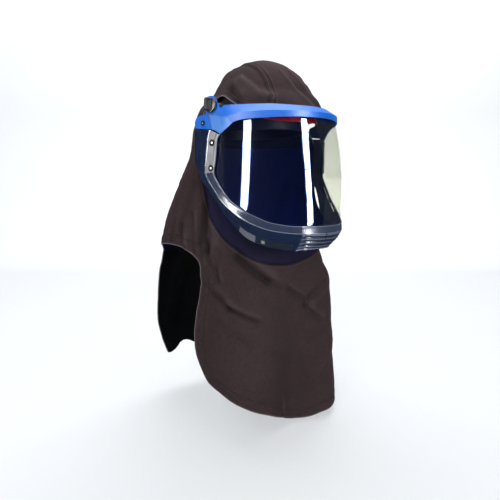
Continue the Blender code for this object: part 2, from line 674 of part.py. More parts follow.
def make_studs():
    """Rivets that hold the side plates, and the pins at the brow guard's ears."""
    for side, name in SIDES:
        plate, guard = bpy.data.objects["side_plate_" + name], bpy.data.objects["brow_guard"]
        studs = (("lens_rivet_upper_", RIVET_PLACES[0], RIVET_RADIUS, plate),
                 ("lens_rivet_lower_", RIVET_PLACES[1], RIVET_RADIUS, plate),
                 ("ear_pin_", EAR_PIN_PLACE, EAR_PIN_RADIUS, guard))
        for label, place, radius, seat in studs:
            point, axis = surface_frame(place, side, STUD_START)
            way = reach(seat, circle(point, axis, radius, STUD_SIDES), -axis)
            profile = [(-way, radius), (STUD_RIM * STUD_HEIGHT - way, radius),
                       (STUD_HEIGHT - way, STUD_TOP * radius)]
            stud = lathe(label + name, point, axis, profile, STUD_SIDES)
            paint(stud, (0.45, 0.46, 0.48), 0.3, metallic=0.9)


def knob_frame(side):
    return surface_frame(KNOB_PLACE, side, GUARD_OFF)


def make_knobs():
    """Turning knobs: shaft, hub and disc turned in one, with a bar across to grip."""
    disc = KNOB_STAND + KNOB_DISC
    for side, name in SIDES:
        point, axis = knob_frame(side)
        profile = [(-SHAFT_REACH, SHAFT_RADIUS), (SEAT_GAP, SHAFT_RADIUS), (SEAT_GAP, KNOB_HUB),
                   (KNOB_STAND, KNOB_HUB), (KNOB_STAND, KNOB_RADIUS), (disc - KNOB_EDGE, KNOB_RADIUS),
                   (disc, KNOB_RADIUS - KNOB_EDGE)]
        knob = lathe("knob_" + name, np.zeros(3), np.array([0.0, 0.0, 1.0]), profile, KNOB_SIDES)
        grip = add_box("grip", (KNOB_GRIP_HALF, KNOB_GRIP_THICK / 2), (disc - GRIP_SINK, disc + KNOB_GRIP))
        combine(knob, grip, "UNION")
        level, up = turned_frame(axis)
        knob.matrix_world = Matrix([*np.column_stack([up, -level, axis, point]), [0, 0, 0, 1]])
        paint(knob, (0.020, 0.021, 0.016), 0.4)


def add_box(name, half, heights):
    """Upright box round the z axis, its top narrower than its foot."""
    rings = []
    for z, share in zip(heights, (1.0, GRIP_TAPER)):
        x, y = half[0] * share, half[1] * share
        rings.append([(-x, -y, z), (x, -y, z), (x, y, z), (-x, y, z)])
    return add_tube(name, np.array(rings))


def add_tube(name, rings):
    """Closed solid through rings of points, each ring turning left seen from the last one's end."""
    count, sides, _ = rings.shape
    number = np.arange(count * sides).reshape(count, sides)
    ahead = np.roll(number, -1, axis=1)
    walls = np.stack([number[:-1], ahead[:-1], ahead[1:], number[1:]], -1).reshape(-1, 4)
    ends = [number[0][::-1].tolist(), number[-1].tolist()]
    return add_mesh(name, rings.reshape(-1, 3), walls.tolist() + ends)


def chamfered(size):
    """Eight corners of a rectangle with its own corners cut off."""
    x, y = size[0] / 2, size[1] / 2
    cut = ADAPTER_CHAMFER * min(size)
    return np.array([(x, cut - y), (x, y - cut), (x - cut, y), (cut - x, y),
                     (-x, y - cut), (-x, cut - y), (cut - x, -y), (x - cut, -y)])


def make_cap_adapters():
    """Blocks between the hard cap and the brow guard's lugs, with a socket for the knob's shaft."""
    cap, guard = bpy.data.objects["hard_cap"], bpy.data.objects["brow_guard"]
    for side, name in SIDES:
        point, axis = knob_frame(side)
        level, up = turned_frame(axis)
        middle = point - ADAPTER_MIDDLE * axis
        foot, end = [middle + chamfered(size) @ np.array([level, up]) for size in (ADAPTER_FOOT, ADAPTER_END)]
        to_cap, to_guard = reach(cap, foot, -axis), reach(guard, end, axis)
        adapter = add_tube("cap_adapter_" + name, np.array([foot - to_cap * axis, end + to_guard * axis]))
        cut_hole(adapter, (point, axis), SHAFT_HOLE, (-SOCKET_DEPTH - GUARD_WALL, 0.0))
        paint(adapter, (0.025, 0.026, 0.028), 0.5)


def turned_frame(axis):
    """Two directions square to an axis: one level, one upwards."""
    level = np.cross([0, 1, 0] if abs(axis[2]) > 0.99 else [0, 0, 1], axis)
    level = level / np.linalg.norm(level)
    return level, np.cross(axis, level)


def lathe(name, point, axis, profile, sides):
    """Closed turned solid: profile of (distance along the axis, radius), with flat ends."""
    rings = [circle(point + along * axis, axis, radius, sides) for along, radius in profile]
    return add_tube(name, np.array(rings))


def combine(piece, other, operation):
    """Joins the other solid to the piece or takes it out, and deletes it."""
    other.hide_render = True
    other.display_type = "WIRE"
    change = piece.modifiers.new("combine", "BOOLEAN")
    change.operation = operation
    change.solver = "EXACT"
    change.object = other
    keep_result(piece)
    bpy.data.objects.remove(other)


def keep_result(piece):
    bpy.context.view_layer.update()
    graph = bpy.context.evaluated_depsgraph_get()
    mesh = bpy.data.meshes.new_from_object(piece.evaluated_get(graph))
    piece.modifiers.clear()
    piece.data = mesh


def cut_hole(piece, frame, radius, limits):
    point, axis = frame
    cutter = lathe("hole", point, axis, [(end, radius) for end in limits], KNOB_SIDES)
    combine(piece, cutter, "DIFFERENCE")


def make_hard_cap():
    wall = Wall(CAP_SECTIONS)
    lattice = Lattice(wall, CAP_COLUMNS, CAP_ROWS)
    brim = measured(wall, mirrored(CAP_OUTLINE, closed_above=ABOVE_ALL))
    lattice.pull_onto(brim)
    faces = without_pinches(lattice.faces[brim(lattice.centres()) < 0])
    points = wall.point(lattice.places[:, 0], lattice.places[:, 1])
    cap = add_wall("hard_cap", points, vertex_normals(points, lattice.faces), faces, 0, -CAP_WALL)
    paint(cap, (0.55, 0.02, 0.02), 0.3)


def make_headband():
    """Band round the head with two straps crossed over the crown, in one."""
    wall = Wall(BAND_SECTIONS)
    lattice = Lattice(wall, BAND_COLUMNS, BAND_ROWS)

    def outside(places):
        point = wall.point(places[:, 0], places[:, 1])
        beside = np.abs(point[:, :2]).min(axis=1) - STRAP_HALF
        return np.minimum(beside, point[:, 2] - BAND_TOP)

    lattice.pull_onto(outside)
    faces = without_pinches(lattice.faces[outside(lattice.centres()) < 0])
    points = wall.point(lattice.places[:, 0], lattice.places[:, 1])
    band = add_wall("headband", points, vertex_normals(points, lattice.faces), faces, 0, -BAND_WALL)
    paint(band, (0.030, 0.032, 0.036), 0.6)


def make_band_keys():
    """Small blocks that carry the headband in the hard cap."""
    band, cap = bpy.data.objects["headband"], bpy.data.objects["hard_cap"]
    for number, angle in enumerate(np.radians(KEY_ANGLES), 1):
        axis = np.array([math.sin(angle), -math.cos(angle), 0.0])
        level, up = turned_frame(axis)
        middle = KEY_RADIUS * axis + [0, 0, KEY_HEIGHT] + chamfered(KEY_SIZE) @ np.array([level, up])
        inner, outer = reach(band, middle, -axis), reach(cap, middle, axis)
        key = add_tube("band_key_%d" % number, np.array([middle - inner * axis, middle + outer * axis]))
        paint(key, (0.03, 0.03, 0.03), 0.5)


def main():
    for old in list(bpy.data.objects):
        bpy.data.objects.remove(old)
    make_cloth()
    make_face_shield()
    make_brow_guard()
    make_chin_cup()
    make_side_plates()
    make_studs()
    make_knobs()
    make_hard_cap()
    make_cap_adapters()
    make_headband()
    make_band_keys()


main()
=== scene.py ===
import math

import bpy
import numpy as np
from mathutils import Matrix, Vector


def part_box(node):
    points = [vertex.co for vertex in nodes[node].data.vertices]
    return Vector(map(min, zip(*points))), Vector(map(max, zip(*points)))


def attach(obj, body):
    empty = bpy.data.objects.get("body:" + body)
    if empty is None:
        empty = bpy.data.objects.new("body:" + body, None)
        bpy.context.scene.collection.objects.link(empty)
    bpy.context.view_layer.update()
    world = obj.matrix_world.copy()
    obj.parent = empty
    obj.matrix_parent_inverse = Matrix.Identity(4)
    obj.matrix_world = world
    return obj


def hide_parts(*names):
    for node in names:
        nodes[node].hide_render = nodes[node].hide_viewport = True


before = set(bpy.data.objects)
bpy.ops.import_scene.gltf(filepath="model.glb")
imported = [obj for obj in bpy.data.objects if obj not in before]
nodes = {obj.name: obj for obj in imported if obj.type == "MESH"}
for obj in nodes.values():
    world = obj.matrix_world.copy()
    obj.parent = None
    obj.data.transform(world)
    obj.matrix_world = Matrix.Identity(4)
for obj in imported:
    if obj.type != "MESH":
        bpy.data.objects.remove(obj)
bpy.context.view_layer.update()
print("frame loaded")


# ---- curves, fields and meshes

def spline(stops, values, at):
    # smooth curve through rows of values: cubic pieces whose slopes are the weighted means of the chords
    stops = np.asarray(stops, float)
    values = np.asarray(values, float).reshape(len(stops), -1)
    steps = np.diff(stops)[:, None]
    chords = np.diff(values, axis=0) / steps
    inner = (chords[1:] * steps[:-1] + chords[:-1] * steps[1:]) / (steps[1:] + steps[:-1])
    slopes = np.vstack([chords[:1], inner, chords[-1:]])
    at = np.asarray(at, float)
    k = np.clip(np.searchsorted(stops, at, side="right") - 1, 0, len(stops) - 2)
    step = steps[k]
    t = (at - stops[k])[..., None] / step
    start = values[k] * (1 + 2 * t) * (1 - t) ** 2 + slopes[k] * step * t * (1 - t) ** 2
    end = values[k + 1] * t ** 2 * (3 - 2 * t) - slopes[k + 1] * step * t ** 2 * (1 - t)
    return start + end


def unit(vectors):
    return vectors / np.maximum(np.linalg.norm(vectors, axis=-1, keepdims=True), 1e-12)


def smoothStep(low, high, value):
    # 0 below low, 1 above high, and 3t^2 - 2t^3 between
    t = np.clip((value - low) / (high - low), 0, 1)
    return t * t * (3 - 2 * t)


def bump(value, centre, width):
    # a soft bell: exp(-((value - centre) / width)^2)
    return np.exp(-((value - centre) / width) ** 2)


def superRound(turn, half, power):
    # one coordinate of a superellipse, from the cosine or sine of its angle
    return half * np.sign(turn) * np.abs(turn) ** power


def ripple(points, size, seed, stretch=(1, 1, 1), waves=14):
    # soft random field, about -1.5 to 1.5: a sum of sines of random direction and phase, each about size long
    rng = np.random.default_rng(seed)
    ways = unit(rng.normal(size=(waves, 3))) / (size * rng.uniform(0.7, 1.5, (waves, 1)))
    turns = (points / np.asarray(stretch, float)) @ ways.T
    return np.sin(2 * math.pi * (turns + rng.uniform(0, 1, waves))).sum(-1) / math.sqrt(waves)


def packed(faces, count):
    # which of the points the faces use, and the faces counted in those alone
    used = np.unique(faces)
    number = np.full(count, -1)
    number[used] = np.arange(len(used))
    return used, number[faces]


def inScene(thing):
    bpy.context.scene.collection.objects.link(thing)
    return thing


def makePiece(name, points, faces, uv=None, notes=None, smooth=40):
    # one object from points and equal-sided faces; notes are values kept at each point
    used, corners = packed(faces, len(points))
    mesh = bpy.data.meshes.new(name)
    mesh.vertices.add(len(used))
    mesh.vertices.foreach_set("co", points[used].astype(np.float32).ravel())
    mesh.loops.add(corners.size)
    mesh.loops.foreach_set("vertex_index", corners.astype(np.int32).ravel())
    mesh.polygons.add(len(corners))
    mesh.polygons.foreach_set("loop_start", np.arange(len(corners), dtype=np.int32) * corners.shape[1])
    mesh.update(calc_edges=True)
    if uv is not None:
        layer = mesh.uv_layers.new(name="cut")
        layer.data.foreach_set("uv", uv[faces].astype(np.float32).ravel())
    for key, values in (notes or {}).items():
        mesh.attributes.new(key, "FLOAT", "POINT").data.foreach_set("value", values[used].astype(np.float32))
    mesh.validate()
    print(name, len(corners) * (corners.shape[1] - 2), "triangles")
    mesh.shade_smooth()
    mesh.set_sharp_from_angle(angle=math.radians(smooth))
    return inScene(bpy.data.objects.new(name, mesh))


def pointNormals(points, faces):
    # mean of the face normals round each point, larger faces counting more
    corner = points[faces[:, :3]]
    across = np.cross(corner[:, 1] - corner[:, 0], corner[:, 2] - corner[:, 0])
    total = np.zeros_like(points)
    for k in range(faces.shape[1]):
        np.add.at(total, faces[:, k], across)
    return unit(total)


def rimEdges(faces):
    # directed edges that only one face uses
    directed = np.vstack([faces[:, [k, (k + 1) % faces.shape[1]]] for k in range(faces.shape[1])])
    _, index, count = np.unique(np.sort(directed, axis=1), axis=0, return_inverse=True, return_counts=True)
    return directed[count[index.reshape(-1)] == 1]


def closedWall(outer, inner, faces):
    # both skins of a wall and the strip of faces that closes its rims
    count = len(outer)
    rim = rimEdges(faces)
    strip = np.column_stack([rim[:, 1], rim[:, 0], rim[:, 0] + count, rim[:, 1] + count])
    if faces.shape[1] == 3:
        strip = np.vstack([strip[:, :3], strip[:, [0, 2, 3]]])
    return np.vstack([outer, inner]), np.vstack([faces, faces[:, ::-1] + count, strip])


def gridFaces(rows, columns, wrap=False):
    # four-sided faces of a grid of points; wrap joins the last column to the first
    number = np.arange(rows * columns).reshape(rows, columns)
    if wrap:
        number = np.column_stack([number, number[:, :1]])
    return np.stack([number[:-1, :-1], number[:-1, 1:], number[1:, 1:], number[1:, :-1]], -1).reshape(-1, 4)


def wallPiece(name, points, normals, faces, wall, lift=0.0, notes=None, uv=None, smooth=40):
    # closed wall behind points, its outer skin lifted off them; the note skin is 0 outside and 1 inside
    both, shell = closedWall(points + normals * lift, points + normals * (lift - wall), faces)
    twice = {key: np.tile(values.ravel(), 2) for key, values in (notes or {}).items()}
    twice["skin"] = np.repeat([0.0, 1.0], len(points))
    return makePiece(name, both, shell, uv if uv is None else np.tile(uv, (2, 1)), twice, smooth)


def gridWall(name, grid, wall, flip=False, **more):
    # the same from a grid of points
    faces = gridFaces(*grid.shape[:2])
    if flip:
        faces = faces[:, ::-1]
    points = grid.reshape(-1, 3)
    return wallPiece(name, points, pointNormals(points, faces), faces, wall, **more)


def roundEdges(piece, width, segments=2, limit=35):
    # small rounds along the edges that turn more than the limit
    edge = piece.modifiers.new("edges", "BEVEL")
    edge.width = width
    edge.segments = segments
    edge.limit_method = "ANGLE"
    edge.angle_limit = math.radians(limit)
    edge.use_clamp_overlap = True
    edge.harden_normals = False


def turnedFrame(axis):
    # two directions square to an axis: one level, one upwards
    level = unit(np.cross([0.0, 0.0, 1.0], axis))
    return level, np.cross(axis, level)


def turned(point, axis, profile, sides):
    # profile of (distance along the axis, radius) carried round the axis; radius 0 closes an end
    level, up = turnedFrame(axis)
    turn = np.arange(sides) * 2 * math.pi / sides
    ring = np.cos(turn)[:, None] * level + np.sin(turn)[:, None] * up
    profile = np.array(profile, float)
    points = point + profile[:, :1, None] * axis + profile[:, 1:, None] * ring
    return points.reshape(-1, 3), gridFaces(len(profile), sides, wrap=True)


def joined(*parts):
    # several (points, faces) as one
    starts = np.cumsum([0] + [len(points) for points, _ in parts[:-1]])
    faces = [faces + start for (_, faces), start in zip(parts, starts)]
    return np.vstack([points for points, _ in parts]), np.vstack(faces)


def weldPoles(piece):
    weld = piece.modifiers.new("weld", "WELD")
    weld.merge_threshold = 0.00002
    return piece


# ---- finishes

class Wire:  # one output of a node, so that sums can be written as Python expressions
    def __init__(self, finish, socket):
        self.finish, self.socket = finish, socket


def addSign(sign, operation):
    # one sign between a wire and a number or another wire, whichever comes first
    setattr(Wire, "__" + sign + "__", lambda wire, other: wire.finish.maths(operation, wire, other))
    setattr(Wire, "__r" + sign + "__", lambda wire, other: wire.finish.maths(operation, other, wire))


for sign, operation in (("add", "ADD"), ("sub", "SUBTRACT"), ("mul", "MULTIPLY"), ("pow", "POWER")):
    addSign(sign, operation)


class Finish:  # a material and the nodes that make it
    def __init__(self, name, **fixed):
        self.material = bpy.data.materials.new(name)
        self.material.use_nodes = True
        self.tree = self.material.node_tree
        self.shader = self.tree.nodes["Principled BSDF"]
        self.set(**fixed)

    def feed(self, socket, value):
        if isinstance(value, Wire):
            self.tree.links.new(value.socket, socket)
        else:
            socket.default_value = value

    def set(self, **sockets):
        for key, value in sockets.items():
            self.feed(self.shader.inputs[key.replace("_", " ")], value)

    def node(self, kind, settings, values, out=0):
        made = self.tree.nodes.new(kind)
        for key, value in settings.items():
            setattr(made, key, value)
        for key, value in values.items():
            self.feed(made.inputs[key], value)
        return Wire(self, made.outputs[out])

    def place(self):
        return self.node("ShaderNodeTexCoord", {}, {}, "Object")

    def cut(self):
        return self.node("ShaderNodeUVMap", {"uv_map": "cut"}, {})

    def note(self, name):
        return self.node("ShaderNodeAttribute", {"attribute_name": name}, {}, "Fac")

    def noise(self, scale, detail, rough, where=None):
        values = {"Vector": where or self.place(), "Scale": scale, "Detail": detail, "Roughness": rough}
        return self.node("ShaderNodeTexNoise", {}, values)

    def stretched(self, scale, where):
        return self.node("ShaderNodeMapping", {}, {"Vector": where, "Scale": scale})

    def facing(self, blend):
        # 0 face on, 1 edge on
        return self.node("ShaderNodeLayerWeight", {}, {"Blend": blend}, "Facing")

    def ramp(self, value, low, high, start=0.0, end=1.0):
        # start below low, end above high, smooth between
        values = {"Value": value, "From Min": low, "From Max": high, "To Min": start, "To Max": end}
        return self.node("ShaderNodeMapRange", {"interpolation_type": "SMOOTHSTEP"}, values)

    def bell(self, value, centre, width):
        # 1 where the value is at the centre, smoothly down to 0 a width away
        return self.ramp(self.maths("ABSOLUTE", value - centre), 0.0, width, 1.0, 0.0)

    def between(self, value, low, high, soft):
        # 1 between low and high, with a soft rim inside them
        return self.ramp(value, low, low + soft) * self.ramp(value, high - soft, high, 1.0, 0.0)

    def maths(self, operation, *values):
        return self.node("ShaderNodeMath", {"operation": operation}, dict(enumerate(values)))

    def wave(self, value, length):
        return self.maths("SINE", value * (2 * math.pi / length))

    def layered(self, ground, *layers):
        # the ground colour under layers of (share, colour)
        for share, colour in layers:
            first, second = [c if isinstance(c, Wire) else (*c, 1) for c in (ground, colour)]
            ground = self.node("ShaderNodeMix", {"data_type": "RGBA"}, {0: share, 6: first, 7: second}, 2)
        return ground

    def relief(self, height, distance):
        # bump from a height between 0 and 1 that stands for this many metres
        self.set(Normal=self.node("ShaderNodeBump", {}, {"Height": height, "Distance": distance}))

    def seeThrough(self, tint, share):
        # lets light through with a tint where share is 0 and shows the surface where it is 1
        clear = self.node("ShaderNodeBsdfTransparent", {}, {"Color": (*tint, 1)})
        both = self.node("ShaderNodeMixShader", {}, {0: share, 1: clear, 2: Wire(self, self.shader.outputs[0])})
        self.tree.links.new(both.socket, self.tree.nodes["Material Output"].inputs["Surface"])


def scaled(colour, share):
    return tuple(share * c for c in colour)


def dress(piece, finish, replaces, body="root"):
    # gives a piece its material and body, and hides the solids that it stands for
    piece.data.materials.clear()
    piece.data.materials.append(finish.material)
    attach(piece, body)
    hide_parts(*replaces)


stitch = {
    # width and length of a thread, then how far each row runs from its edge or seam
    "wide": 0.0009, "long": 0.0042, "hem": 0.02, "rim": 0.0035, "window": 0.011, "crown": 0.0032,
    "collar": 0.0045,
}


def stitching(finish, slant, look, colour, height):
    # dashed threads beside the seams, which lie in shallow grooves painted darker as painted shade, and a
    # painted highlight along the rims
    keys = ("hemWay", "windowWay", "crownWay", "collarWay", "upper")
    hem, window, crown, collar, upper = [finish.note(key) for key in keys]

    def rows(way, *places):
        return sum((finish.bell(way, place, stitch["wide"]) for place in places[1:]),
                   finish.bell(way, places[0], stitch["wide"]))

    lower = 1 - upper
    threads = rows(hem, -stitch["hem"], -stitch["rim"]) + upper * rows(window, stitch["window"], stitch["rim"])
    threads = threads + rows(crown, -stitch["crown"], stitch["crown"]) + lower * rows(collar, stitch["collar"])
    # groove: the seams' grooves, sunk in the relief and painted darker as painted shade
    groove = finish.bell(hem, -stitch["hem"], 0.0035) + lower * finish.bell(collar, 0.0, 0.0045)
    groove = groove + finish.bell(crown, 0.0, 0.002) + finish.bell(crown, 0.0075, 0.004) * 0.6
    # edge: a painted highlight along the rims of the hem and of the opening
    edge = finish.bell(hem, 0.0, 0.0026) + upper * finish.bell(window, 0.0, 0.0032)
    pucker = finish.noise(75.0, 2, 0.5) * finish.between(hem * -1, 0.002, 0.034, 0.012)
    dash = finish.ramp(finish.wave(slant, stitch["long"]), -0.5, 0.3)
    colour = finish.layered(colour, (finish.ramp(groove, 0.0, 1.0, 0.0, 0.6), scaled(look["dark"], 0.4)),
                            (finish.ramp(threads * dash, 0.0, 1.0, 0.0, 0.55), look["threadAndHighlight"]),
                            (finish.ramp(edge, 0.2, 0.9), scaled(look["threadAndHighlight"], 1.6)))
    return colour, height - groove * 9.0 - threads * 4.0 + threads * dash * 4.0 + pucker * 34.0


def wovenFinish(name, look, stitched=True):
    # twill: a sine wave slantwise across the cut, under slubs; painted shade in the folds' valleys, as less
    # light reaches into a fold, and a painted highlight on their crests
    finish = Finish(name, Sheen_Weight=look["sheen"], Sheen_Roughness=0.45, Specular_IOR_Level=look["shine"])
    cut = finish.node("ShaderNodeSeparateXYZ", {}, {0: finish.cut()}).socket.node.outputs
    slant = Wire(finish, cut[0]) + Wire(finish, cut[1])
    twill = finish.wave(slant, look["twill"]) * 0.5 + 0.5
    slub = finish.noise(1.0, 2, 0.6, finish.stretched((900, 140, 1), finish.cut()))
    broad = finish.noise(6.0, 3, 0.5)
    fine = finish.noise(160.0, 3, 0.6)
    shade = finish.ramp(broad * 0.35 + fine * 0.3 + slub * 0.35, 0.36, 0.66)
    # painted shade darkens the fold valleys and a painted highlight lightens their crests
    valley = finish.ramp(finish.note("fold"), -0.0075, -0.0006, 0.62, 0.0)
    crest = finish.ramp(finish.note("fold"), 0.0004, 0.0032, 0.0, 0.16)
    colour = finish.layered(look["dark"], (shade, look["light"]), (twill * 0.08, look["threadAndHighlight"]),
                            (valley, scaled(look["dark"], 0.22)), (crest, look["threadAndHighlight"]),
                            *[(finish.note(key), tone) for key, tone in look["noted"]])
    height = twill * 0.4 + slub * 0.35 + fine * 0.35
    if stitched:
        colour, height = stitching(finish, slant, look, colour, height)
    rough = finish.ramp(fine, 0.3, 0.7, look["rough"] - 0.05, look["rough"] + 0.06)
    finish.set(Base_Color=colour, Roughness=rough)
    finish.relief(height, look["rib"])
    return finish


def plasticFinish(name, colour, rough, shade=0.85, noted=(), **fixed):
    # moulded plastic: a faint mottle in colour and gloss, a fine grain, and other colours where notes say so
    finish = Finish(name, **fixed)
    mottle = finish.noise(22.0, 4, 0.6)
    fine = finish.noise(900.0, 2, 0.5)
    finish.set(Base_Color=finish.layered(scaled(colour, shade), (finish.ramp(mottle, 0.35, 0.7), colour),
                                         *[(finish.note(key), tone) for key, tone in noted]),
               Roughness=finish.ramp(mottle + fine * 0.3, 0.45, 0.85, rough * 0.85, rough * 1.2))
    finish.relief(fine + mottle * 0.4, 0.00003)
    return finish


print("tools ready")

sides = ((-1, "right"), (1, "left"))


# ---- the hood's wall

hood = {
    # z, then the radius at the front, cheek, side, shoulder and back, then how much lower the left side hangs
    "sections": (
        (0.045, 0, 0, 0, 0, 0, 0), (0.0425, 0.028, 0.027, 0.026, 0.028, 0.03, 0),
        (0.033, 0.052, 0.051, 0.049, 0.053, 0.056, 0), (0.0165, 0.076, 0.073, 0.07, 0.076, 0.082, 0),
        (-0.006, 0.097, 0.092, 0.087, 0.094, 0.103, 0), (-0.028, 0.111, 0.106, 0.101, 0.108, 0.118, 0),
        (-0.045, 0.126, 0.119, 0.116, 0.125, 0.127, 0), (-0.0605, 0.137, 0.122, 0.126, 0.131, 0.134, 0),
        (-0.078, 0.147, 0.128, 0.132, 0.135, 0.14, 0), (-0.11, 0.158, 0.138, 0.137, 0.145, 0.149, 0),
        (-0.15, 0.168, 0.144, 0.139, 0.159, 0.16, 0), (-0.2, 0.178, 0.143, 0.137, 0.184, 0.174, 0),
        (-0.225, 0.182, 0.141, 0.137, 0.194, 0.18, 0), (-0.25, 0.184, 0.136, 0.138, 0.202, 0.185, 0),
        (-0.275, 0.183, 0.13, 0.14, 0.21, 0.19, 0), (-0.29, 0.175, 0.125, 0.142, 0.213, 0.192, 0),
        (-0.305, 0.16, 0.119, 0.144, 0.216, 0.195, 0), (-0.322, 0.146, 0.118, 0.147, 0.22, 0.197, 0.001),
        (-0.34, 0.138, 0.126, 0.15, 0.223, 0.199, 0.004), (-0.37, 0.131, 0.14, 0.154, 0.232, 0.201, 0.01),
        (-0.42, 0.121, 0.151, 0.158, 0.243, 0.203, 0.02), (-0.5, 0.114, 0.159, 0.164, 0.249, 0.204, 0.04),
        (-0.6, 0.11, 0.164, 0.169, 0.248, 0.203, 0.04), (-0.72, 0.109, 0.168, 0.173, 0.242, 0.2, 0.04),
    ),
    "flatRadius": 0.17, "columns": 286, "rows": 240,
    "liningColumns": 190, "liningRows": 160, "liningTop": -0.11,
    "hem": 0.02, "windowHem": 0.011, "crownSeam": 0.045, "behindSeam": 0.008,
}
sectionAngles = np.radians([0, 45, 90, 135, 180])

# angle from the front in degrees and height, half of each outline
windowOutline = (
    (0, -0.0705), (35, -0.07), (48, -0.066), (58, -0.057), (66, -0.046), (75, -0.037),
    (84, -0.035), (91, -0.041), (95, -0.053), (95, -0.07), (90, -0.087), (85, -0.105),
    (83, -0.15), (82, -0.178), (78, -0.195), (73, -0.211), (67, -0.228), (57, -0.247),
    (48, -0.262), (38, -0.272), (28, -0.279), (15, -0.284), (0, -0.286),
)
hemOutline = (
    (0, -0.686), (10, -0.683), (19, -0.677), (32, -0.664), (45, -0.653), (62, -0.64),
    (71, -0.635), (77.5, -0.628), (83, -0.613), (86, -0.6), (88.5, -0.58), (89.5, -0.56),
    (89, -0.516), (87.5, -0.456), (87.5, -0.396), (89.5, -0.361), (96, -0.341), (105, -0.326),
    (114, -0.325), (123, -0.33), (130, -0.337), (135, -0.35), (137, -0.375), (138, -0.413),
    (137, -0.5), (136.5, -0.528), (138.5, -0.576), (142, -0.616), (145, -0.637), (150.5, -0.628),
    (154, -0.611), (157.5, -0.6065), (161, -0.612), (168, -0.625), (180, -0.63), (190, -0.625),
)
seamOutline = (
    (-96, -0.108), (-96, -0.15), (-95, -0.177), (-92.5, -0.203), (-88, -0.25), (-81.5, -0.281),
    (-73.5, -0.307), (-55, -0.332), (-40, -0.3465), (-26, -0.352), (-13, -0.353), (-5.5, -0.349),
    (5.5, -0.341), (14, -0.332), (30, -0.32), (45, -0.307), (60, -0.292), (73, -0.276),
    (83, -0.25), (90, -0.212), (94, -0.18), (96, -0.15), (96, -0.108),
)

# folds: both ends as angle and height, half width, depth (below zero for a ridge)
folds = (
    (-93.5, -0.185, -86, -0.33, 0.011, 0.0075), (-101, -0.2, -108, -0.31, 0.014, 0.004),
    (-89.5, -0.245, -91.5, -0.315, 0.007, 0.007), (-135, -0.075, -124, -0.125, 0.022, 0.0045),
    (-78, -0.33, -74, -0.4, 0.01, 0.003),
    (-60, -0.336, -30, -0.386, 0.01, 0.0085), (-31, -0.386, -18, -0.402, 0.008, 0.0035),
    (-77, -0.437, -60, -0.459, 0.009, 0.004), (-60, -0.46, -38, -0.477, 0.007, 0.006),
    (-92, -0.405, -66, -0.44, 0.009, 0.0028), (-70, -0.5, -45, -0.53, 0.012, 0.0022),
    (-11, -0.404, 9, -0.426, 0.0055, 0.0045), (13, -0.42, 10, -0.438, 0.006, 0.004),
    (10, -0.439, 26, -0.463, 0.006, 0.0045), (31, -0.392, 14, -0.418, 0.008, 0.004),
    (-42, -0.52, -6, -0.56, 0.014, 0.0022), (18, -0.5, 40, -0.47, 0.012, 0.0025),
    (-14, -0.64, -12, -0.692, 0.006, 0.0032), (30, -0.6, 52, -0.52, 0.014, 0.0025),
    (-99, -0.258, -94.5, -0.338, 0.005, 0.0052), (-106, -0.28, -102, -0.328, 0.0045, 0.0036),
    (-87, -0.312, -82, -0.364, 0.0048, 0.0052), (-92, -0.312, -88.5, -0.348, 0.0042, 0.0036),
    (-81, -0.345, -78, -0.385, 0.0045, 0.0036), (-113, -0.265, -112, -0.322, 0.0055, 0.0034),
    (-76, -0.372, -70, -0.4, 0.005, 0.003),
    (-62, -0.004, -27, -0.047, 0.009, -0.0045), (-72, -0.028, -58, -0.05, 0.011, 0.006),
    (-9.5, 0.006, 7, -0.055, 0.008, -0.003), (2, 0, 20, -0.055, 0.01, 0.0035),
    (-38, -0.03, -26, -0.058, 0.007, 0.002), (25, -0.015, 34, -0.05, 0.009, -0.0025),
    (70, -0.3, 38, -0.372, 0.012, 0.006), (88, -0.42, 55, -0.47, 0.013, 0.004),
    (150, -0.3, 164, -0.4, 0.013, 0.005), (-150, -0.28, -166, -0.39, 0.013, 0.005),
    (172, -0.36, 176, -0.56, 0.012, 0.005), (-158, -0.4, -150, -0.56, 0.011, 0.0045),
    (-172, -0.33, -174, -0.5, 0.009, 0.0035), (160, -0.44, 157, -0.58, 0.01, 0.004),
    (118, -0.2, 132, -0.31, 0.014, 0.004), (-124, -0.18, -138, -0.3, 0.016, 0.004),
    (125, -0.07, 150, -0.12, 0.014, 0.0035), (-128, -0.08, -152, -0.13, 0.014, 0.0035),
    (40, -0.014, 43, -0.046, 0.018, 0.0085), (-150, 0.034, -108, 0.014, 0.016, -0.0045),
)
# where the far edge of the opening stands away
flare = {"angle": 40, "spread": 13, "reach": 0.012, "rise": 0.0105}


class Wall:
    # radius = a sum of cosines of the angle, fitted to the five radii of each section; sections run on smoothly
    def __init__(self, sections):
        table = np.array([tuple(row) + (0,) * (7 - len(row)) for row in sections], float)
        orders = np.arange(len(sectionAngles))
        series = np.linalg.inv(np.cos(np.outer(sectionAngles, orders)))
        self.columns = np.column_stack([table[:, 0], table[:, 1:6] @ series.T, table[:, 6]])
        strides = np.hypot(np.diff(table[:, 0]), np.diff(table[:, 1:6].mean(axis=1)))
        self.runs = np.concatenate([[0], np.cumsum(strides)])
        self.length = self.runs[-1]

    def height(self, run):
        return spline(self.runs, self.columns, run)[..., 0]

    def runAt(self, height):
        fine = np.linspace(0, self.length, 3000)
        return np.interp(-np.asarray(height, float), -self.height(fine), fine)

    def point(self, angle, run):
        read = spline(self.runs, self.columns, run)
        turns = np.asarray(angle)[..., None] * np.arange(len(sectionAngles))
        radius = (read[..., 1:6] * np.cos(turns)).sum(-1)
        z = read[..., 0] - read[..., 6] * np.sin(angle)
        return np.stack([radius * np.sin(angle), -radius * np.cos(angle), z], -1)

    def normal(self, angle, run):
        # cross product of the small steps round and down the wall
        step = 0.0015
        run = np.clip(run, 0.004, self.length - step)
        turn = self.point(angle + step * 6, run) - self.point(angle - step * 6, run)
        down = self.point(angle, run + step) - self.point(angle, run - step)
        return unit(np.cross(down, turn))


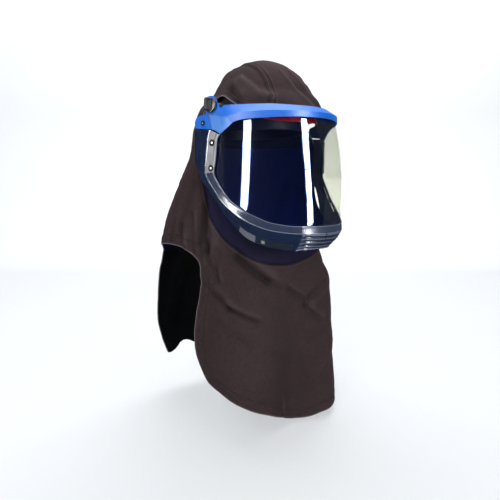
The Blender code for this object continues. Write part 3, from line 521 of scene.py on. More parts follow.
class Lattice:
    # triangles over a wall, from its pole down, with points pulled onto the outlines that cut it
    def __init__(self, wall, columns, rows, outlines):
        angle = np.linspace(-math.pi, math.pi, columns, endpoint=False)
        run = wall.length * np.arange(1, rows + 1) / rows
        grid = np.stack(np.meshgrid(run, angle, indexing="ij"), -1).reshape(-1, 2)[:, ::-1]
        self.places = np.vstack([[[0.0, 0.0]], grid])
        number = 1 + np.arange(rows * columns).reshape(rows, columns)
        ahead = np.roll(number, -1, axis=1)
        fan = np.column_stack([np.zeros(columns, int), number[0], ahead[0]])
        upper = np.stack([number[:-1], number[1:], ahead[1:]], -1).reshape(-1, 3)
        lower = np.stack([number[:-1], ahead[1:], ahead[:-1]], -1).reshape(-1, 3)
        self.faces = np.vstack([fan, upper, lower])
        pairs = np.vstack([self.faces[:, [0, 1]], self.faces[:, [1, 2]], self.faces[:, [2, 0]]])
        self.edges = np.unique(np.sort(pairs, axis=1), axis=0)
        self.edges = self.edges[self.edges[:, 0] > 0]
        self.pinned = np.zeros(len(self.places), bool)
        for measure in outlines:
            self.pullOnto(measure)

    def pullOnto(self, measure):
        # moves the nearer end of each edge that the outline crosses onto it
        fixed, onLine = self.pinned.copy(), np.zeros(len(self.places), bool)
        for _ in range(2):
            value = measure(self.places)
            value[onLine] = 0
            a, b = self.edges.T
            crossing = (value[a] * value[b] < 0) & ~(fixed[a] & fixed[b])
            a, b = a[crossing], b[crossing]
            share = value[a] / (value[a] - value[b])
            first = ((share < 0.5) | fixed[b]) & ~fixed[a]
            mover, other = np.where(first, a, b), np.where(first, b, a)
            share = np.where(first, share, 1 - share)
            step = self.places[other] - self.places[mover]
            step[:, 0] = (step[:, 0] + math.pi) % (2 * math.pi) - math.pi
            goal = self.places[mover] + share[:, None] * step
            order = np.argsort(-share)
            self.places[mover[order]] = goal[order]
            onLine[mover] = True
            fixed |= onLine
        self.pinned = fixed

    def centres(self):
        # middles of the triangles, with the angle taken the short way round
        corners = self.places[self.faces].copy()
        first = corners[:, 1:2, 0]
        corners[:, :, 0] = first + (corners[:, :, 0] - first + math.pi) % (2 * math.pi) - math.pi
        corners[self.faces[:, 0] == 0, 0, 0] = first[self.faces[:, 0] == 0, 0]
        middle = corners.mean(axis=1)
        middle[:, 0] = (middle[:, 0] + math.pi) % (2 * math.pi) - math.pi
        return middle


def smoothRing(outline, whole=False, closeAbove=None):
    # outline in metres along the wall, mirrored unless whole, smoothed and closed
    ring = np.array(outline, float)
    ring[:, 0] = np.radians(ring[:, 0]) * hood["flatRadius"]
    if not whole:
        ring = np.vstack([ring[::-1] * [-1, 1], ring[ring[:, 0] > 0]])
    lengths = np.concatenate([[0], np.cumsum(np.linalg.norm(np.diff(ring, axis=0), axis=1))])
    ring = spline(lengths, ring, np.linspace(0, lengths[-1], 3 * len(ring)))
    if closeAbove is not None:
        ends = ring[[-1, 0]].copy()
        ends[:, 1] = closeAbove
        ring = np.vstack([ring, ends])
    return ring


def ringDistance(ring, wall):
    # function of places: distance to the ring along the wall, below zero inside it
    start, end = ring, np.roll(ring, -1, axis=0)
    along = end - start
    squared = np.maximum((along ** 2).sum(axis=1), 1e-12)

    def near(point):
        lead = point[:, None] - start
        share = np.clip((lead * along).sum(-1) / squared, 0, 1)
        best = np.sqrt(((lead - share[..., None] * along) ** 2).sum(-1).min(axis=1))
        x, y = point[:, :1], point[:, 1:]
        spans = (start[:, 1] > y) != (end[:, 1] > y)
        rise = np.where(along[:, 1] == 0, 1, along[:, 1])
        inside = (spans & (x < start[:, 0] + (y - start[:, 1]) / rise * along[:, 0])).sum(axis=1) % 2 == 1
        return np.where(inside, -best, best)

    def measure(places):
        point = np.column_stack([places[:, 0] * hood["flatRadius"], wall.height(places[:, 1])])
        return np.concatenate([near(some) for some in np.array_split(point, max(1, len(point) // 8000))])

    return measure


def largestPiece(faces):
    # the biggest set of faces joined edge to edge
    label = np.arange(faces.max() + 1)
    while True:
        low = label[faces].min(axis=1)
        fresh = label.copy()
        for k in range(3):
            np.minimum.at(fresh, faces[:, k], low)
        fresh = fresh[fresh]
        if (fresh == label).all():
            break
        label = fresh
    names, counts = np.unique(label[faces[:, 0]], return_counts=True)
    return faces[label[faces[:, 0]] == names[counts.argmax()]]


def withoutPinches(faces):
    # faces less those at a corner where two rims touch
    while True:
        rim = rimEdges(faces)
        corner, count = np.unique(rim[:, 0], return_counts=True)
        pinched = corner[count > 1]
        if not len(pinched):
            return largestPiece(faces)
        faces = faces[~np.isin(faces, pinched).any(axis=1)]


hoodWall = Wall(hood["sections"])
windowWay = ringDistance(smoothRing(windowOutline), hoodWall)
seamWay = ringDistance(smoothRing(seamOutline, whole=True), hoodWall)
hemWay = ringDistance(smoothRing(hemOutline, closeAbove=0.2), hoodWall)


def foldRise(angle, height):
    # each fold is a soft valley along a straight line with a lower ridge along one side of it
    flat = np.stack([angle * hood["flatRadius"], height], -1)
    rise = np.zeros(len(flat))
    for angle1, z1, angle2, z2, half, deep in folds:
        start = np.array([math.radians(angle1) * hood["flatRadius"], z1])
        line = np.array([math.radians(angle2) * hood["flatRadius"], z2]) - start
        beside = np.array([-line[1], line[0]]) / np.hypot(*line)
        for shift, width, depth in ((0, half, -deep), (1.7 * half, 1.3 * half, 0.45 * deep)):
            lead = flat - start - shift * beside
            share = np.clip(lead @ line / (line @ line), 0, 1)
            away = ((lead - share[:, None] * line) ** 2).sum(-1)
            rise += depth * np.exp(-away / width ** 2)
    return rise


def hoodRise(angle, height, point, window, fold):
    # how far the cloth stands off its plain wall: folds, slack, small creases and the flare at the opening
    low = smoothStep(-0.2, -0.45, height)
    slack = 0.002 * ripple(point, 0.17, 3, (1, 1, 2.2)) + 0.001 * ripple(point, 0.075, 4, (1, 1, 1.6))
    rise = fold + low * slack
    rise += 0.0006 * ripple(point, 0.05, 5) * smoothStep(0.03, -0.01, height)
    rise += 0.00025 * ripple(point, 0.022, 6)
    room = 0.0008 + 0.012 * smoothStep(-0.012, -0.05, height)  # how far the cap lets it sink
    far = bump(np.degrees(angle), flare["angle"], flare["spread"]) * bump(window, 0, flare["reach"])
    return np.maximum(rise, -room) + flare["rise"] * far * (height > -0.1)


def crownDistance(point):
    # distance across the double-stitched seams that run from the brow over the crown and down the back
    across = np.abs(point[:, 0]) - hood["crownSeam"] - 0.01 * smoothStep(-0.025, -0.055, point[:, 2])
    return across + 0.1 * smoothStep(-0.1, -0.13, point[:, 2]) * smoothStep(0.03, 0.0, point[:, 1])


def seamRise(height, point, ways):
    # double cloth at the hems and the felled crown seams stands a little proud, and the seams draw it in
    window, collar, hem = ways
    crown = crownDistance(point)
    above = smoothStep(-0.13, -0.1, height)
    rise = 0.0008 * smoothStep(-hood["hem"] - 0.004, -hood["hem"] + 0.002, hem)
    rise += 0.0006 * (1 - smoothStep(hood["windowHem"] - 0.002, hood["windowHem"] + 0.004, window)) * above
    rise += 0.0014 * bump(crown, 0.0, 0.005) - 0.0012 * bump(crown, 0.0095, 0.0045)
    rise -= 0.0012 * bump(collar, 0.0, 0.0035) * (1 - above)
    return rise


def cutCloth(name, lattice, faces, stitched=True):
    # closed cloth wall over chosen faces of the lattice, its rims drawn in a little to leave the seams open
    cloth = cloths[name]
    used, faces = packed(withoutPinches(faces), len(lattice.places))
    places = lattice.places[used]
    angle, run = places.T
    height = hoodWall.height(run)
    base = hoodWall.point(angle, run)
    ways = [way(places) for way in (windowWay, seamWay, hemWay)]
    fold = foldRise(angle, height)
    rise = hoodRise(angle, height, base, ways[0], fold) + seamRise(height, base, ways)
    points = base + hoodWall.normal(angle, run) * rise[:, None]
    normals = pointNormals(points, faces)
    rim = rimEdges(faces)
    inward = np.cross(normals[rim[:, 0]], unit(points[rim[:, 1]] - points[rim[:, 0]]))
    middle = np.zeros_like(points)
    for end in (0, 1):
        np.add.at(middle, rim[:, end], inward)
    points = points + cloth["trim"] * unit(middle)
    notes = {"windowWay": ways[0], "collarWay": ways[1], "hemWay": ways[2], "crownWay": crownDistance(points),
             "upper": smoothStep(-0.13, -0.1, height), "face": smoothStep(-0.36, -0.31, height), "fold": fold}
    uv = np.column_stack([angle * hood["flatRadius"], run])
    piece = wallPiece(name, points, normals, faces, cloth["thick"], -cloth["sink"], notes, uv, smooth=70)
    dress(piece, wovenFinish(cloth["material"], cloth, stitched), replaces=[cloth["node"]])


def makeCloth():
    lattice = Lattice(hoodWall, hood["columns"], hood["rows"], (windowWay, seamWay, hemWay))
    centre = lattice.centres()
    kept = (windowWay(centre) > 0) & (hemWay(centre) < 0)
    inSeam = seamWay(centre) < 0
    cutCloth("hoodCloth", lattice, lattice.faces[kept & ~inSeam])
    cutCloth("collarCloth", lattice, lattice.faces[kept & inSeam])
    lattice = Lattice(hoodWall, hood["liningColumns"], hood["liningRows"], (windowWay, hemWay))
    centre = lattice.centres()
    kept = (windowWay(centre) > 0) & (hemWay(centre) < 0) & (seamWay(centre) > -hood["behindSeam"])
    low = hoodWall.height(lattice.places[:, 1])[lattice.faces].max(axis=1) < hood["liningTop"]
    cutCloth("hoodLining", lattice, lattice.faces[kept & low], stitched=False)


cloths = {
    # colours, twill and relief and gloss, then thickness, how far its face is sunk and its rims are drawn in
    # the third colour is the tone of the threads and twill, and also the painted highlight on fold crests and
    # rims
    "hoodCloth": {
        "dark": (0.024, 0.0124, 0.0144), "light": (0.042, 0.0232, 0.026), "threadAndHighlight": (0.13, 0.108, 0.11),
        "noted": (("skin", (0.0024, 0.005, 0.042)),), "twill": 0.0011, "rib": 0.0001, "rough": 0.86,
        "sheen": 0.01, "shine": 0.06, "thick": 0.0016, "sink": 0.0, "trim": 0.0002,
        "material": "outerCloth", "slot": "outer_cloth", "node": "hood_shell", "sheet": (0.92, 0.82),
    },
    "collarCloth": {
        "dark": (0.0058, 0.0048, 0.02), "light": (0.0105, 0.0085, 0.033), "threadAndHighlight": (0.024, 0.022, 0.052),
        "noted": (("skin", (0.0022, 0.0058, 0.052)),), "twill": 0.001, "rib": 0.00008, "rough": 0.82,
        "sheen": 0.0, "shine": 0.04, "thick": 0.0016, "sink": 0.0002, "trim": 0.0002,
        "material": "collarCloth", "slot": "collar_cloth", "node": "window_collar", "sheet": (0.46, 0.24),
    },
    "hoodLining": {
        "dark": (0.0016, 0.0018, 0.0024), "light": (0.0055, 0.0058, 0.007), "threadAndHighlight": (0.02, 0.021, 0.025),
        "noted": (("face", (0.003, 0.01, 0.125)),), "twill": 0.0016, "rib": 0.0001, "rough": 0.58,
        "sheen": 0.005, "shine": 0.04, "thick": 0.0012, "sink": 0.0022, "trim": 0.0012,
        "material": "liningCloth", "slot": "lining_cloth", "node": "hood_lining", "sheet": (0.92, 0.62),
    },
}
makeCloth()
print("cloth cut")


# ---- the shield's U and the pieces that follow it

visor = {
    "half": 0.1506, "depth": 0.2683, "back": 0.0899, "power": 1.94,
    "level": -0.09, "lean": 0.3294, "bow": -1.241,
}


def visorPlan(sweep, off):
    # a superellipse in plan, grown by off
    power = 2 / visor["power"]
    ahead = superRound(np.cos(sweep), visor["depth"] + off, power) - visor["back"]
    return superRound(np.sin(sweep), visor["half"] + off, power), ahead


visorSweep = np.linspace(-math.pi / 2, math.pi / 2, 1441)
visorRun = np.stack(visorPlan(visorSweep, 0.0), -1)
visorRun = np.concatenate([[0], np.cumsum(np.linalg.norm(np.diff(visorRun, axis=0), axis=1))])
visorRun = visorRun - visorRun[len(visorRun) // 2]


def visorPoint(distance, z, off=0.0):
    # distance round the U from the middle, height and how far off it; the U moves forward below its level
    side, ahead = visorPlan(np.interp(distance, visorRun, visorSweep), off)
    z = np.broadcast_to(z, np.shape(side))
    below = visor["level"] - z
    return np.stack([side, -(ahead + visor["lean"] * below + visor["bow"] * below ** 2), z], -1)


def visorNormal(distance, z):
    step = 0.002
    turn = visorPoint(distance + step, z) - visorPoint(distance - step, z)
    up = visorPoint(distance, z + step) - visorPoint(distance, z - step)
    return unit(np.cross(turn, up))


def bothSides(table):
    half = np.array(table, float)
    other = half[:0:-1].copy()
    other[:, 0] *= -1
    return np.vstack([other, half])


lens = {
    # distance round the U, top, bottom
    "edge": (
        (0, -0.079, -0.279), (0.0552, -0.079, -0.2785), (0.0761, -0.079, -0.2775),
        (0.1031, -0.0792, -0.2725), (0.1292, -0.0797, -0.264), (0.1451, -0.0812, -0.2575),
        (0.1631, -0.0845, -0.2475), (0.176, -0.0915, -0.2395), (0.189, -0.0985, -0.229),
        (0.2, -0.1045, -0.218), (0.208, -0.113, -0.209), (0.214, -0.129, -0.2015),
        (0.2185, -0.148, -0.1945), (0.223, -0.168, -0.1885),
    ),
    "wall": 0.002, "columns": 180, "levels": 54, "tint": (0.955, 0.958, 0.905),
    "colour": (0.36, 0.48, 1.0), "edgeOn": (0.92, 0.95, 1.0), "gloss": 0.03, "least": 0.032, "most": 0.2,
}


def makeLens():
    # sheet between two edges that run round the U
    table = bothSides(lens["edge"])
    along = np.linspace(table[0, 0], table[-1, 0], lens["columns"])
    top, bottom = [np.interp(along, table[:, 0], table[:, k])[:, None] for k in (1, 2)]
    down = np.linspace(0, 1, lens["levels"])
    z = top * (1 - down) + bottom * down
    sheet = visorPoint(np.broadcast_to(along[:, None], z.shape), z)
    piece = gridWall("lensSheet", sheet, lens["wall"], smooth=60)
    finish = Finish("lensClear", Metallic=1.0)
    haze = finish.noise(14.0, 3, 0.6)
    facing = finish.node("ShaderNodeFresnel", {}, {"IOR": 1.5})
    finish.set(Roughness=finish.ramp(haze, 0.35, 0.75, lens["gloss"], lens["gloss"] * 1.8),
               Base_Color=finish.layered(lens["colour"], (finish.ramp(facing, 0.1, 0.6), lens["edgeOn"])))
    finish.seeThrough(lens["tint"], finish.ramp(facing, 0.04, 1.0, lens["least"], lens["most"]))
    dress(piece, finish, replaces=["face_shield"])


makeLens()
print("lens made")

brow = {
    # distance round the U, low edge, crease, top, how far the top leans in, how far the crease stands out
    "sections": (
        (0, -0.0862, -0.0768, -0.064, 0.016, 0.006), (0.027, -0.0862, -0.0766, -0.0637, 0.016, 0.006),
        (0.054, -0.0862, -0.0758, -0.0625, 0.016, 0.006), (0.08, -0.0862, -0.075, -0.0605, 0.016, 0.006),
        (0.106, -0.0866, -0.0745, -0.0593, 0.016, 0.006), (0.13, -0.0868, -0.075, -0.0583, 0.0155, 0.006),
        (0.15, -0.088, -0.0762, -0.0575, 0.014, 0.006), (0.1631, -0.091, -0.078, -0.057, 0.0115, 0.006),
        (0.178, -0.099, -0.08, -0.058, 0.0065, 0.006), (0.186, -0.103, -0.08, -0.059, 0.0022, 0.005),
        (0.189, -0.1045, -0.0795, -0.0455, 0.001, 0.0042), (0.1971, -0.1085, -0.078, -0.0385, 0, 0.0036),
        (0.2025, -0.1055, -0.0765, -0.038, 0, 0.0036), (0.208, -0.1025, -0.0755, -0.039, 0, 0.0036),
        (0.213, -0.1003, -0.075, -0.043, 0, 0.0036), (0.2175, -0.0998, -0.075, -0.052, 0, 0.0036),
        (0.222, -0.0992, -0.0765, -0.068, 0, 0.0036), (0.2282, -0.0985, -0.078, -0.071, 0, 0.0036),
        (0.2405, -0.0965, -0.0795, -0.072, 0, 0.0036), (0.252, -0.095, -0.083, -0.076, 0, 0.0036),
        (0.2584, -0.0935, -0.0885, -0.084, 0, 0.0036),
    ),
    "off": 0.0036, "wall": 0.0025, "columns": 340, "round": 0.0006, "colour": (0.002, 0.17, 0.8),
    # noted: the temple facet painted a lighter blue as a painted highlight, and the inner face painted dark
    # navy as painted shade
    "noted": (("facet", (0.072, 0.285, 0.86)), ("skin", (0.006, 0.014, 0.07))),
    "facet": ((0.1718, -0.08), (0.2139, -0.0975)), "tilt": 0.1, "soft": 0.003, "steps": 11,
}


def makeBrow():
    # facet from the low edge out to the crease, a second from there back to the top, and one that turns
    # under at each temple, below a line from the crease to the ear
    table = bothSides(brow["sections"])
    along = np.linspace(table[0, 0], table[-1, 0], brow["columns"])
    low, crease, top, inset, bulge = spline(table[:, 0], table[:, 1:], along).T
    share = np.linspace(0, 1, brow["steps"])[:, None]
    s = np.broadcast_to(along, (brow["steps"], len(along)))
    z = low + (crease - low) * share
    (s1, z1), (s2, z2) = brow["facet"]
    under = ((s1 - np.abs(s)) * (z2 - z1) - (z1 - z) * (s1 - s2)) / math.hypot(s2 - s1, z2 - z1)
    before = np.clip((np.abs(s) - s1 - 0.8 * (z - z1)) / brow["soft"], 0, 1)
    after = np.clip((s2 - np.abs(s)) / brow["soft"], 0, 1)
    tilt = brow["tilt"] * np.clip(under, 0, 0.02) * before * after
    lower = visorPoint(s, z, brow["off"] + (bulge - brow["off"]) * share - tilt)
    upper = visorPoint(s, crease + (top - crease) * share, bulge - inset * share)
    grid = np.vstack([lower, upper[1:]]).transpose(1, 0, 2)
    # the facet note marks where the temple facet is painted lighter, a painted highlight
    facet = np.vstack([np.clip(tilt / 0.0004, 0, 1), np.zeros_like(tilt[1:])]).T
    piece = gridWall("browGuard", grid, brow["wall"], flip=True, smooth=14, notes={"facet": facet})
    roundEdges(piece, brow["round"], limit=50)
    finish = plasticFinish("browPlastic", brow["colour"], 0.4, 0.93, brow["noted"], Specular_IOR_Level=0.22)
    dress(piece, finish, replaces=["brow_guard"])


makeBrow()
print("brow guard made")

cup = {
    # from ear to chin: inner edge, ridge and outer edge as distance round the U and height, then how far
    # the outer edge and the step above it stand out
    "sections": (
        (0.1978, -0.1105, 0.215, -0.1015, 0.26, -0.0965, 0.003, 0.003),
        (0.2046, -0.12, 0.2227, -0.1135, 0.2665, -0.12, 0.0026, 0.0032),
        (0.2101, -0.138, 0.2299, -0.137, 0.272, -0.14, 0.0022, 0.0034),
        (0.2144, -0.156, 0.2354, -0.1555, 0.2743, -0.156, 0.0018, 0.0035),
        (0.2214, -0.179, 0.2405, -0.18, 0.269, -0.178, 0.001, 0.0035),
        (0.215, -0.193, 0.2335, -0.194, 0.2575, -0.1965, 0, 0.0033),
        (0.2014, -0.211, 0.219, -0.2125, 0.2406, -0.2165, -0.0025, 0.0026),
        (0.1854, -0.2275, 0.1995, -0.233, 0.222, -0.24, -0.006, 0.0014),
        (0.1677, -0.2395, 0.1812, -0.246, 0.2035, -0.2605, -0.01, 0),
        (0.1451, -0.2515, 0.159, -0.259, 0.177, -0.2825, -0.0135, -0.001),
        (0.1292, -0.258, 0.14, -0.269, 0.146, -0.3025, -0.0145, -0.0015),
        (0.1031, -0.267, 0.106, -0.28, 0.104, -0.315, -0.015, -0.002),
        (0.07, -0.2722, 0.07, -0.285, 0.067, -0.3205, -0.015, -0.002),
        (0.048, -0.273, 0.048, -0.2862, 0.0465, -0.3205, -0.015, -0.002),
        (0.036, -0.2732, 0.036, -0.2866, 0.035, -0.3175, -0.01, 0.0015),
        (0, -0.2735, 0, -0.287, 0, -0.317, -0.0095, 0.002),
    ),
    "ridge": 0.0055, "inner": 0.0026, "wall": 0.002, "perSection": 12, "plateSections": 4,
    "edges": (0.06, 0.94, 1.06, 1.84, 1.88, 1.95),
    "ribTurns": 4 / 1.9, "ribDeep": 0.0034, "blockStart": 13.45, "lip": 0.0007, "step": 0.0012,
}


def cupPath(last, count):
    table = np.array(cup["sections"])
    at = np.linspace(0, last, count)
    return at, spline(np.arange(len(table)), table, at)


def cupSurface(at, rows, v):
    # v runs 0 at the inner edge, 1 at the ridge, 2 at the step and 3 at the outer edge; straight between, with
    # a lip at the inner edge, a low step, and upright louvres on the chin block
    inS, inZ, ridgeS, ridgeZ, outS, outZ, outOff, stepOff = rows.T[..., None]
    stepS, stepZ = (ridgeS + outS) / 2, (ridgeZ + outZ) / 2
    inOff, ridgeOff = np.full_like(inS, cup["inner"]), np.full_like(inS, cup["ridge"])
    stops = [np.stack(stop, -1) for stop in ((inS, inZ, inOff), (ridgeS, ridgeZ, ridgeOff),
                                             (stepS, stepZ, stepOff), (outS, outZ, outOff))]
    share = [np.clip(v - k, 0, 1)[None, :, None] for k in range(3)]
    spot = stops[0] + sum(share[k] * (stops[k + 1] - stops[k]) for k in range(3))
    off = spot[..., 2] + cup["lip"] * bump(v, 0.12, 0.1)
    off += cup["step"] * (1 - smoothStep(1.85, 2.0, v)) * smoothStep(1.0, 1.2, v)
    block = smoothStep(cup["blockStart"], cup["blockStart"] + 0.25, at)[:, None]
    saw = (v * cup["ribTurns"] - 1.05) % 1.0
    off += block * (v > 1.05) * cup["ribDeep"] * (0.4 - saw)
    return visorPoint(spot[..., 0], spot[..., 1], off)


cupLook = {
    # line is the colour of the painted highlights, inside is painted shade on the inner face, and dark serves a
    # painted shadow under the skirt's edge and the dark mark at the chin
    "tint": (0.55, 0.6, 0.74), "bevel": (0.052, 0.072, 0.135), "skirt": (0.009, 0.021, 0.062),
    "line": (0.56, 0.61, 0.72), "rough": 0.15, "bevelShare": 0.66, "skirtShare": 0.74,
    "pad": (0.17, 0.185, 0.215), "tab": (0.018, 0.024, 0.034), "catch": (0.36, 0.37, 0.33),
    "inside": (0.006, 0.012, 0.045), "dark": (0.0012, 0.0014, 0.0035),
}


def cupFinish():
    # clear moulded plastic over navy: a greyer bevel, a dark skirt, painted highlights along its edges and the
    # chin block's ribs, where it is also less clear, a painted shadow under the skirt's outer edge, painted
    # shade on its inner face, and on each side of the chin a frosted pad, a dark tab and its catch
    finish = Finish("cupPlastic", Coat_Weight=0.12, Coat_Roughness=0.12, Specular_IOR_Level=0.32)
    along, across = finish.note("along"), finish.note("across")
    cloud = finish.noise(30.0, 3, 0.6)
    bevel = finish.ramp(across, 0.92, 1.06, 1.0, 0.0)
    block = finish.ramp(along, 12.9, 13.3)
    # painted highlights on the rib tops of the chin block, and below on the inner edge, the ridge and the
    # block's outer rim
    rib = finish.ramp(finish.wave(across * cup["ribTurns"] - 1.22, 1), 0.55, 1.0)
    rib = rib * finish.ramp(across, 1.05, 1.15)
    highlightLines = finish.bell(across, 0.0, 0.14) * 0.6 + finish.bell(across, 1.0, 0.06) * 0.8
    highlightLines = highlightLines + (finish.bell(across, 3.0, 0.2) * 1.4 + rib * 0.55) * block
    shadow = finish.bell(across, 3.0, 0.13) * (1 - block)
    mark = finish.bell(along, 15.0, 0.07) * finish.between(across, 0.9, 1.75, 0.1)

    def patch(alongLow, alongHigh, alongSoft, low, high, soft):
        return finish.between(along, alongLow, alongHigh, alongSoft) * finish.between(across, low, high, soft)

    pad = patch(9.25, 10.45, 0.1, 2.05, 2.92, 0.1)
    tab = patch(10.4, 12.7, 0.12, 2.12, 2.86, 0.1)
    layers = ((bevel, "bevel"), (block * 0.7, "bevel"), (finish.ramp(cloud, 0.35, 0.75, 0.0, 0.25), "bevel"),
              (pad, "pad"), (tab, "tab"), (patch(10.66, 10.92, 0.1, 2.3, 2.75, 0.12), "catch"),
              (finish.ramp(highlightLines, 0.1, 1.0, 0.0, 0.8), "line"), (finish.ramp(shadow + mark, 0.0, 1.0), "dark"),
              (finish.note("skin"), "inside"))
    rough = finish.ramp(cloud, 0.3, 0.8, cupLook["rough"] * 0.7, cupLook["rough"] * 1.5)
    finish.set(Base_Color=finish.layered(cupLook["skirt"], *[(share, cupLook[key]) for share, key in layers]),
               Roughness=rough + block * 0.16)
    finish.relief(cloud, 0.00015)
    share = cupLook["skirtShare"] + (cupLook["bevelShare"] - cupLook["skirtShare"]) * bevel
    share = share + finish.facing(0.4) ** 2 * 0.3 + (pad + tab) * 0.35 + highlightLines * 0.3 + shadow * 0.5
    finish.seeThrough(cupLook["tint"], finish.ramp(share, 0.0, 1.0))
    return finish


def makeCup():
    last = len(cup["sections"]) - 1
    at, rows = cupPath(last, last * cup["perSection"] + 1)
    v = np.sort(np.concatenate([np.linspace(0, 3, 85), cup["edges"]]))
    near = cupSurface(at, rows, v)
    grid = np.vstack([near, near[::-1][1:] * [-1, 1, 1]])
    along = np.broadcast_to(np.concatenate([at, at[::-1][1:]])[:, None], grid.shape[:2])
    across = np.broadcast_to(v, grid.shape[:2])
    notes = {"along": along, "across": across}
    piece = gridWall("chinCup", grid, cup["wall"], flip=True, smooth=28, notes=notes)
    roundEdges(piece, 0.0004, segments=1, limit=60)
    dress(piece, cupFinish(), replaces=["chin_cup"])


makeCup()
print("chin cup made")

plate = {
    "wall": 0.0012, "gap": 0.0004, "tint": (0.8, 0.83, 0.88), "colour": (0.15, 0.158, 0.176), "rough": 0.38,
    # inside is painted shade: the inner face in dark navy
    "least": 0.88, "most": 0.95, "inside": (0.008, 0.014, 0.045),
}


def plateFinish():
    # translucent moulded plastic with pale streaks, clearer the more it is seen face on; its inner face is
    # painted dark navy as painted shade
    finish = Finish("platePlastic", Coat_Weight=0.1)
    cloud = finish.noise(30.0, 3, 0.6)
    streak = finish.noise(1.0, 2, 0.5, finish.stretched((120, 120, 9), finish.place()))
    finish.set(Base_Color=finish.layered(plate["colour"],
                                         (finish.ramp(streak, 0.4, 0.62), scaled(plate["colour"], 1.6)),
                                         (finish.note("skin"), plate["inside"])),
               Roughness=finish.ramp(cloud, 0.3, 0.8, plate["rough"] * 0.7, plate["rough"] * 1.6))
    finish.relief(cloud, 0.00015)
    share = finish.facing(0.45) ** 2 * (plate["most"] - plate["least"]) + plate["least"]
    finish.seeThrough(plate["tint"], share)
    return finish


def plateGrid(side, rows, columns):
    # the cup's own band between its inner edge and its ridge
    return cupSurface(*cupPath(cup["plateSections"], rows), np.linspace(0, 1, columns)) * [side, 1, 1]


def makePlates():
    # the band, lifted off the cup
    finish = plateFinish()
    for side, name in sides:
        piece = gridWall("sidePlate" + name.capitalize(), plateGrid(side, 49, 13), plate["wall"], flip=side > 0,
                         lift=plate["gap"] + plate["wall"], smooth=35)
        roundEdges(piece, 0.0003, segments=1)
        dress(piece, finish, replaces=["side_plate_" + name])


def plateFrame(side, place):
    # nearest point of the plate's face to a place round the U, and the way it faces
    grid = plateGrid(side, 97, 25)
    points = grid.reshape(-1, 3)
    near = np.linalg.norm(points - visorPoint(side * place[0], place[1], 0.004), axis=1).argmin()
    axis = pointNormals(points, gridFaces(*grid.shape[:2]))[near]
    axis = axis * np.sign(axis @ visorNormal(side * place[0], place[1]))
    return points[near] + (plate["gap"] + plate["wall"]) * axis, axis


makePlates()

studs = {
    # place round the U and height, and radius
    "lens_rivet_upper_": ((0.2166, -0.125), 0.0061), "lens_rivet_lower_": ((0.226, -0.1705), 0.0061),
    "ear_pin_": ((0.2349, -0.0855), 0.0046),
}
studShape = {
    "half": 0.0008, "proud": 0.001, "sides": 40, "middle": 0.35,
    # height in halves and radius as a share: a flanged collar round a domed, slotted middle
    "profile": ((-0.2, 0), (-0.2, 0.99), (0.2, 1), (0.8, 0.93), (1, 0.8), (1, 0.6), (0.3, 0.44), (0.2, 0.37),
                (0.7, 0.31), (1.1, 0.18), (1.2, 0)),
    "collar": (0.003, 0.003, 0.004), "metal": (0.8, 0.81, 0.82),
}


def studFinish():
    # bright metal in the middle of a black collar
    finish = Finish("studMetal", Specular_IOR_Level=0.12)
    middle = finish.ramp(finish.note("middle"), 0.4, 0.6)
    wear = finish.noise(300.0, 3, 0.6)
    colour = finish.layered(studShape["collar"], (middle, studShape["metal"]))
    rough = finish.ramp(wear, 0.3, 0.7, 0.52, 0.66) - middle * 0.3
    finish.set(Base_Color=colour, Metallic=middle * 0.9, Roughness=rough)
    finish.relief(wear, 0.00002)
    return finish


def makeStuds():
    # each stands where its solid stands
    finish = studFinish()
    count = studShape["sides"]
    for side, name in sides:
        for node, (place, radius) in studs.items():
            if node == "ear_pin_":
                axis = visorNormal(side * place[0], place[1])
                spot = sum(np.array(corner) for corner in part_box(node + name)) / 2
            else:
                spot, axis = plateFrame(side, place)
            profile = np.array(studShape["profile"])
            middle = np.repeat(profile[:, 1] < studShape["middle"], count) * 1.0
            middle[:count] = 0
            spot = spot + studShape["proud"] * axis
            points, faces = turned(spot, axis, profile * [studShape["half"], radius], count)
            piece = weldPoles(makePiece(node.replace("_", "") + name.capitalize(), points, faces[:, ::-1],
                                        notes={"middle": middle}))
            dress(piece, finish, replaces=[node + name])


makeStuds()
print("plates and studs made")

knob = {
    "place": (0.2025, -0.057), "off": 0.0036, "gap": 0.0004, "hub": 0.0055, "stand": 0.002, "disc": 0.0045,
    "radius": 0.0132, "shaft": 0.003, "reach": 0.0145, "edge": 0.0011, "sides": 64, "sunk": 0.0012,
    "gripHalf": 0.0125, "gripThick": 0.008, "gripTall": 0.0125, "taper": 0.86, "rings": 16, "gripSides": 56,
}


def roundedBar(axis, level, up, point, low, high):
    # superellipse rings stacked along the axis, drawn in towards the top with a rounded shoulder
    rise = np.linspace(0, 1, knob["rings"])
    shrink = (1 - (1 - knob["taper"]) * rise) * (1 - 0.1 * smoothStep(0.86, 1.0, rise) ** 2)
    turn = np.arange(knob["gripSides"]) * 2 * math.pi / knob["gripSides"]
    x = superRound(np.cos(turn), knob["gripHalf"], 0.3)
    y = superRound(np.sin(turn), knob["gripThick"] / 2, 0.45)
    waist = 1 - 0.22 * np.exp(-(x / (0.5 * knob["gripHalf"])) ** 2)
    flat = x[:, None] * up + (y * waist)[:, None] * level
    centre = point + np.concatenate([[low], low + rise * (high - low), [high]])[:, None, None] * axis
    points = centre + np.concatenate([[0], shrink, [0]])[:, None, None] * flat
    return points.reshape(-1, 3), gridFaces(knob["rings"] + 2, knob["gripSides"], wrap=True)[:, ::-1]


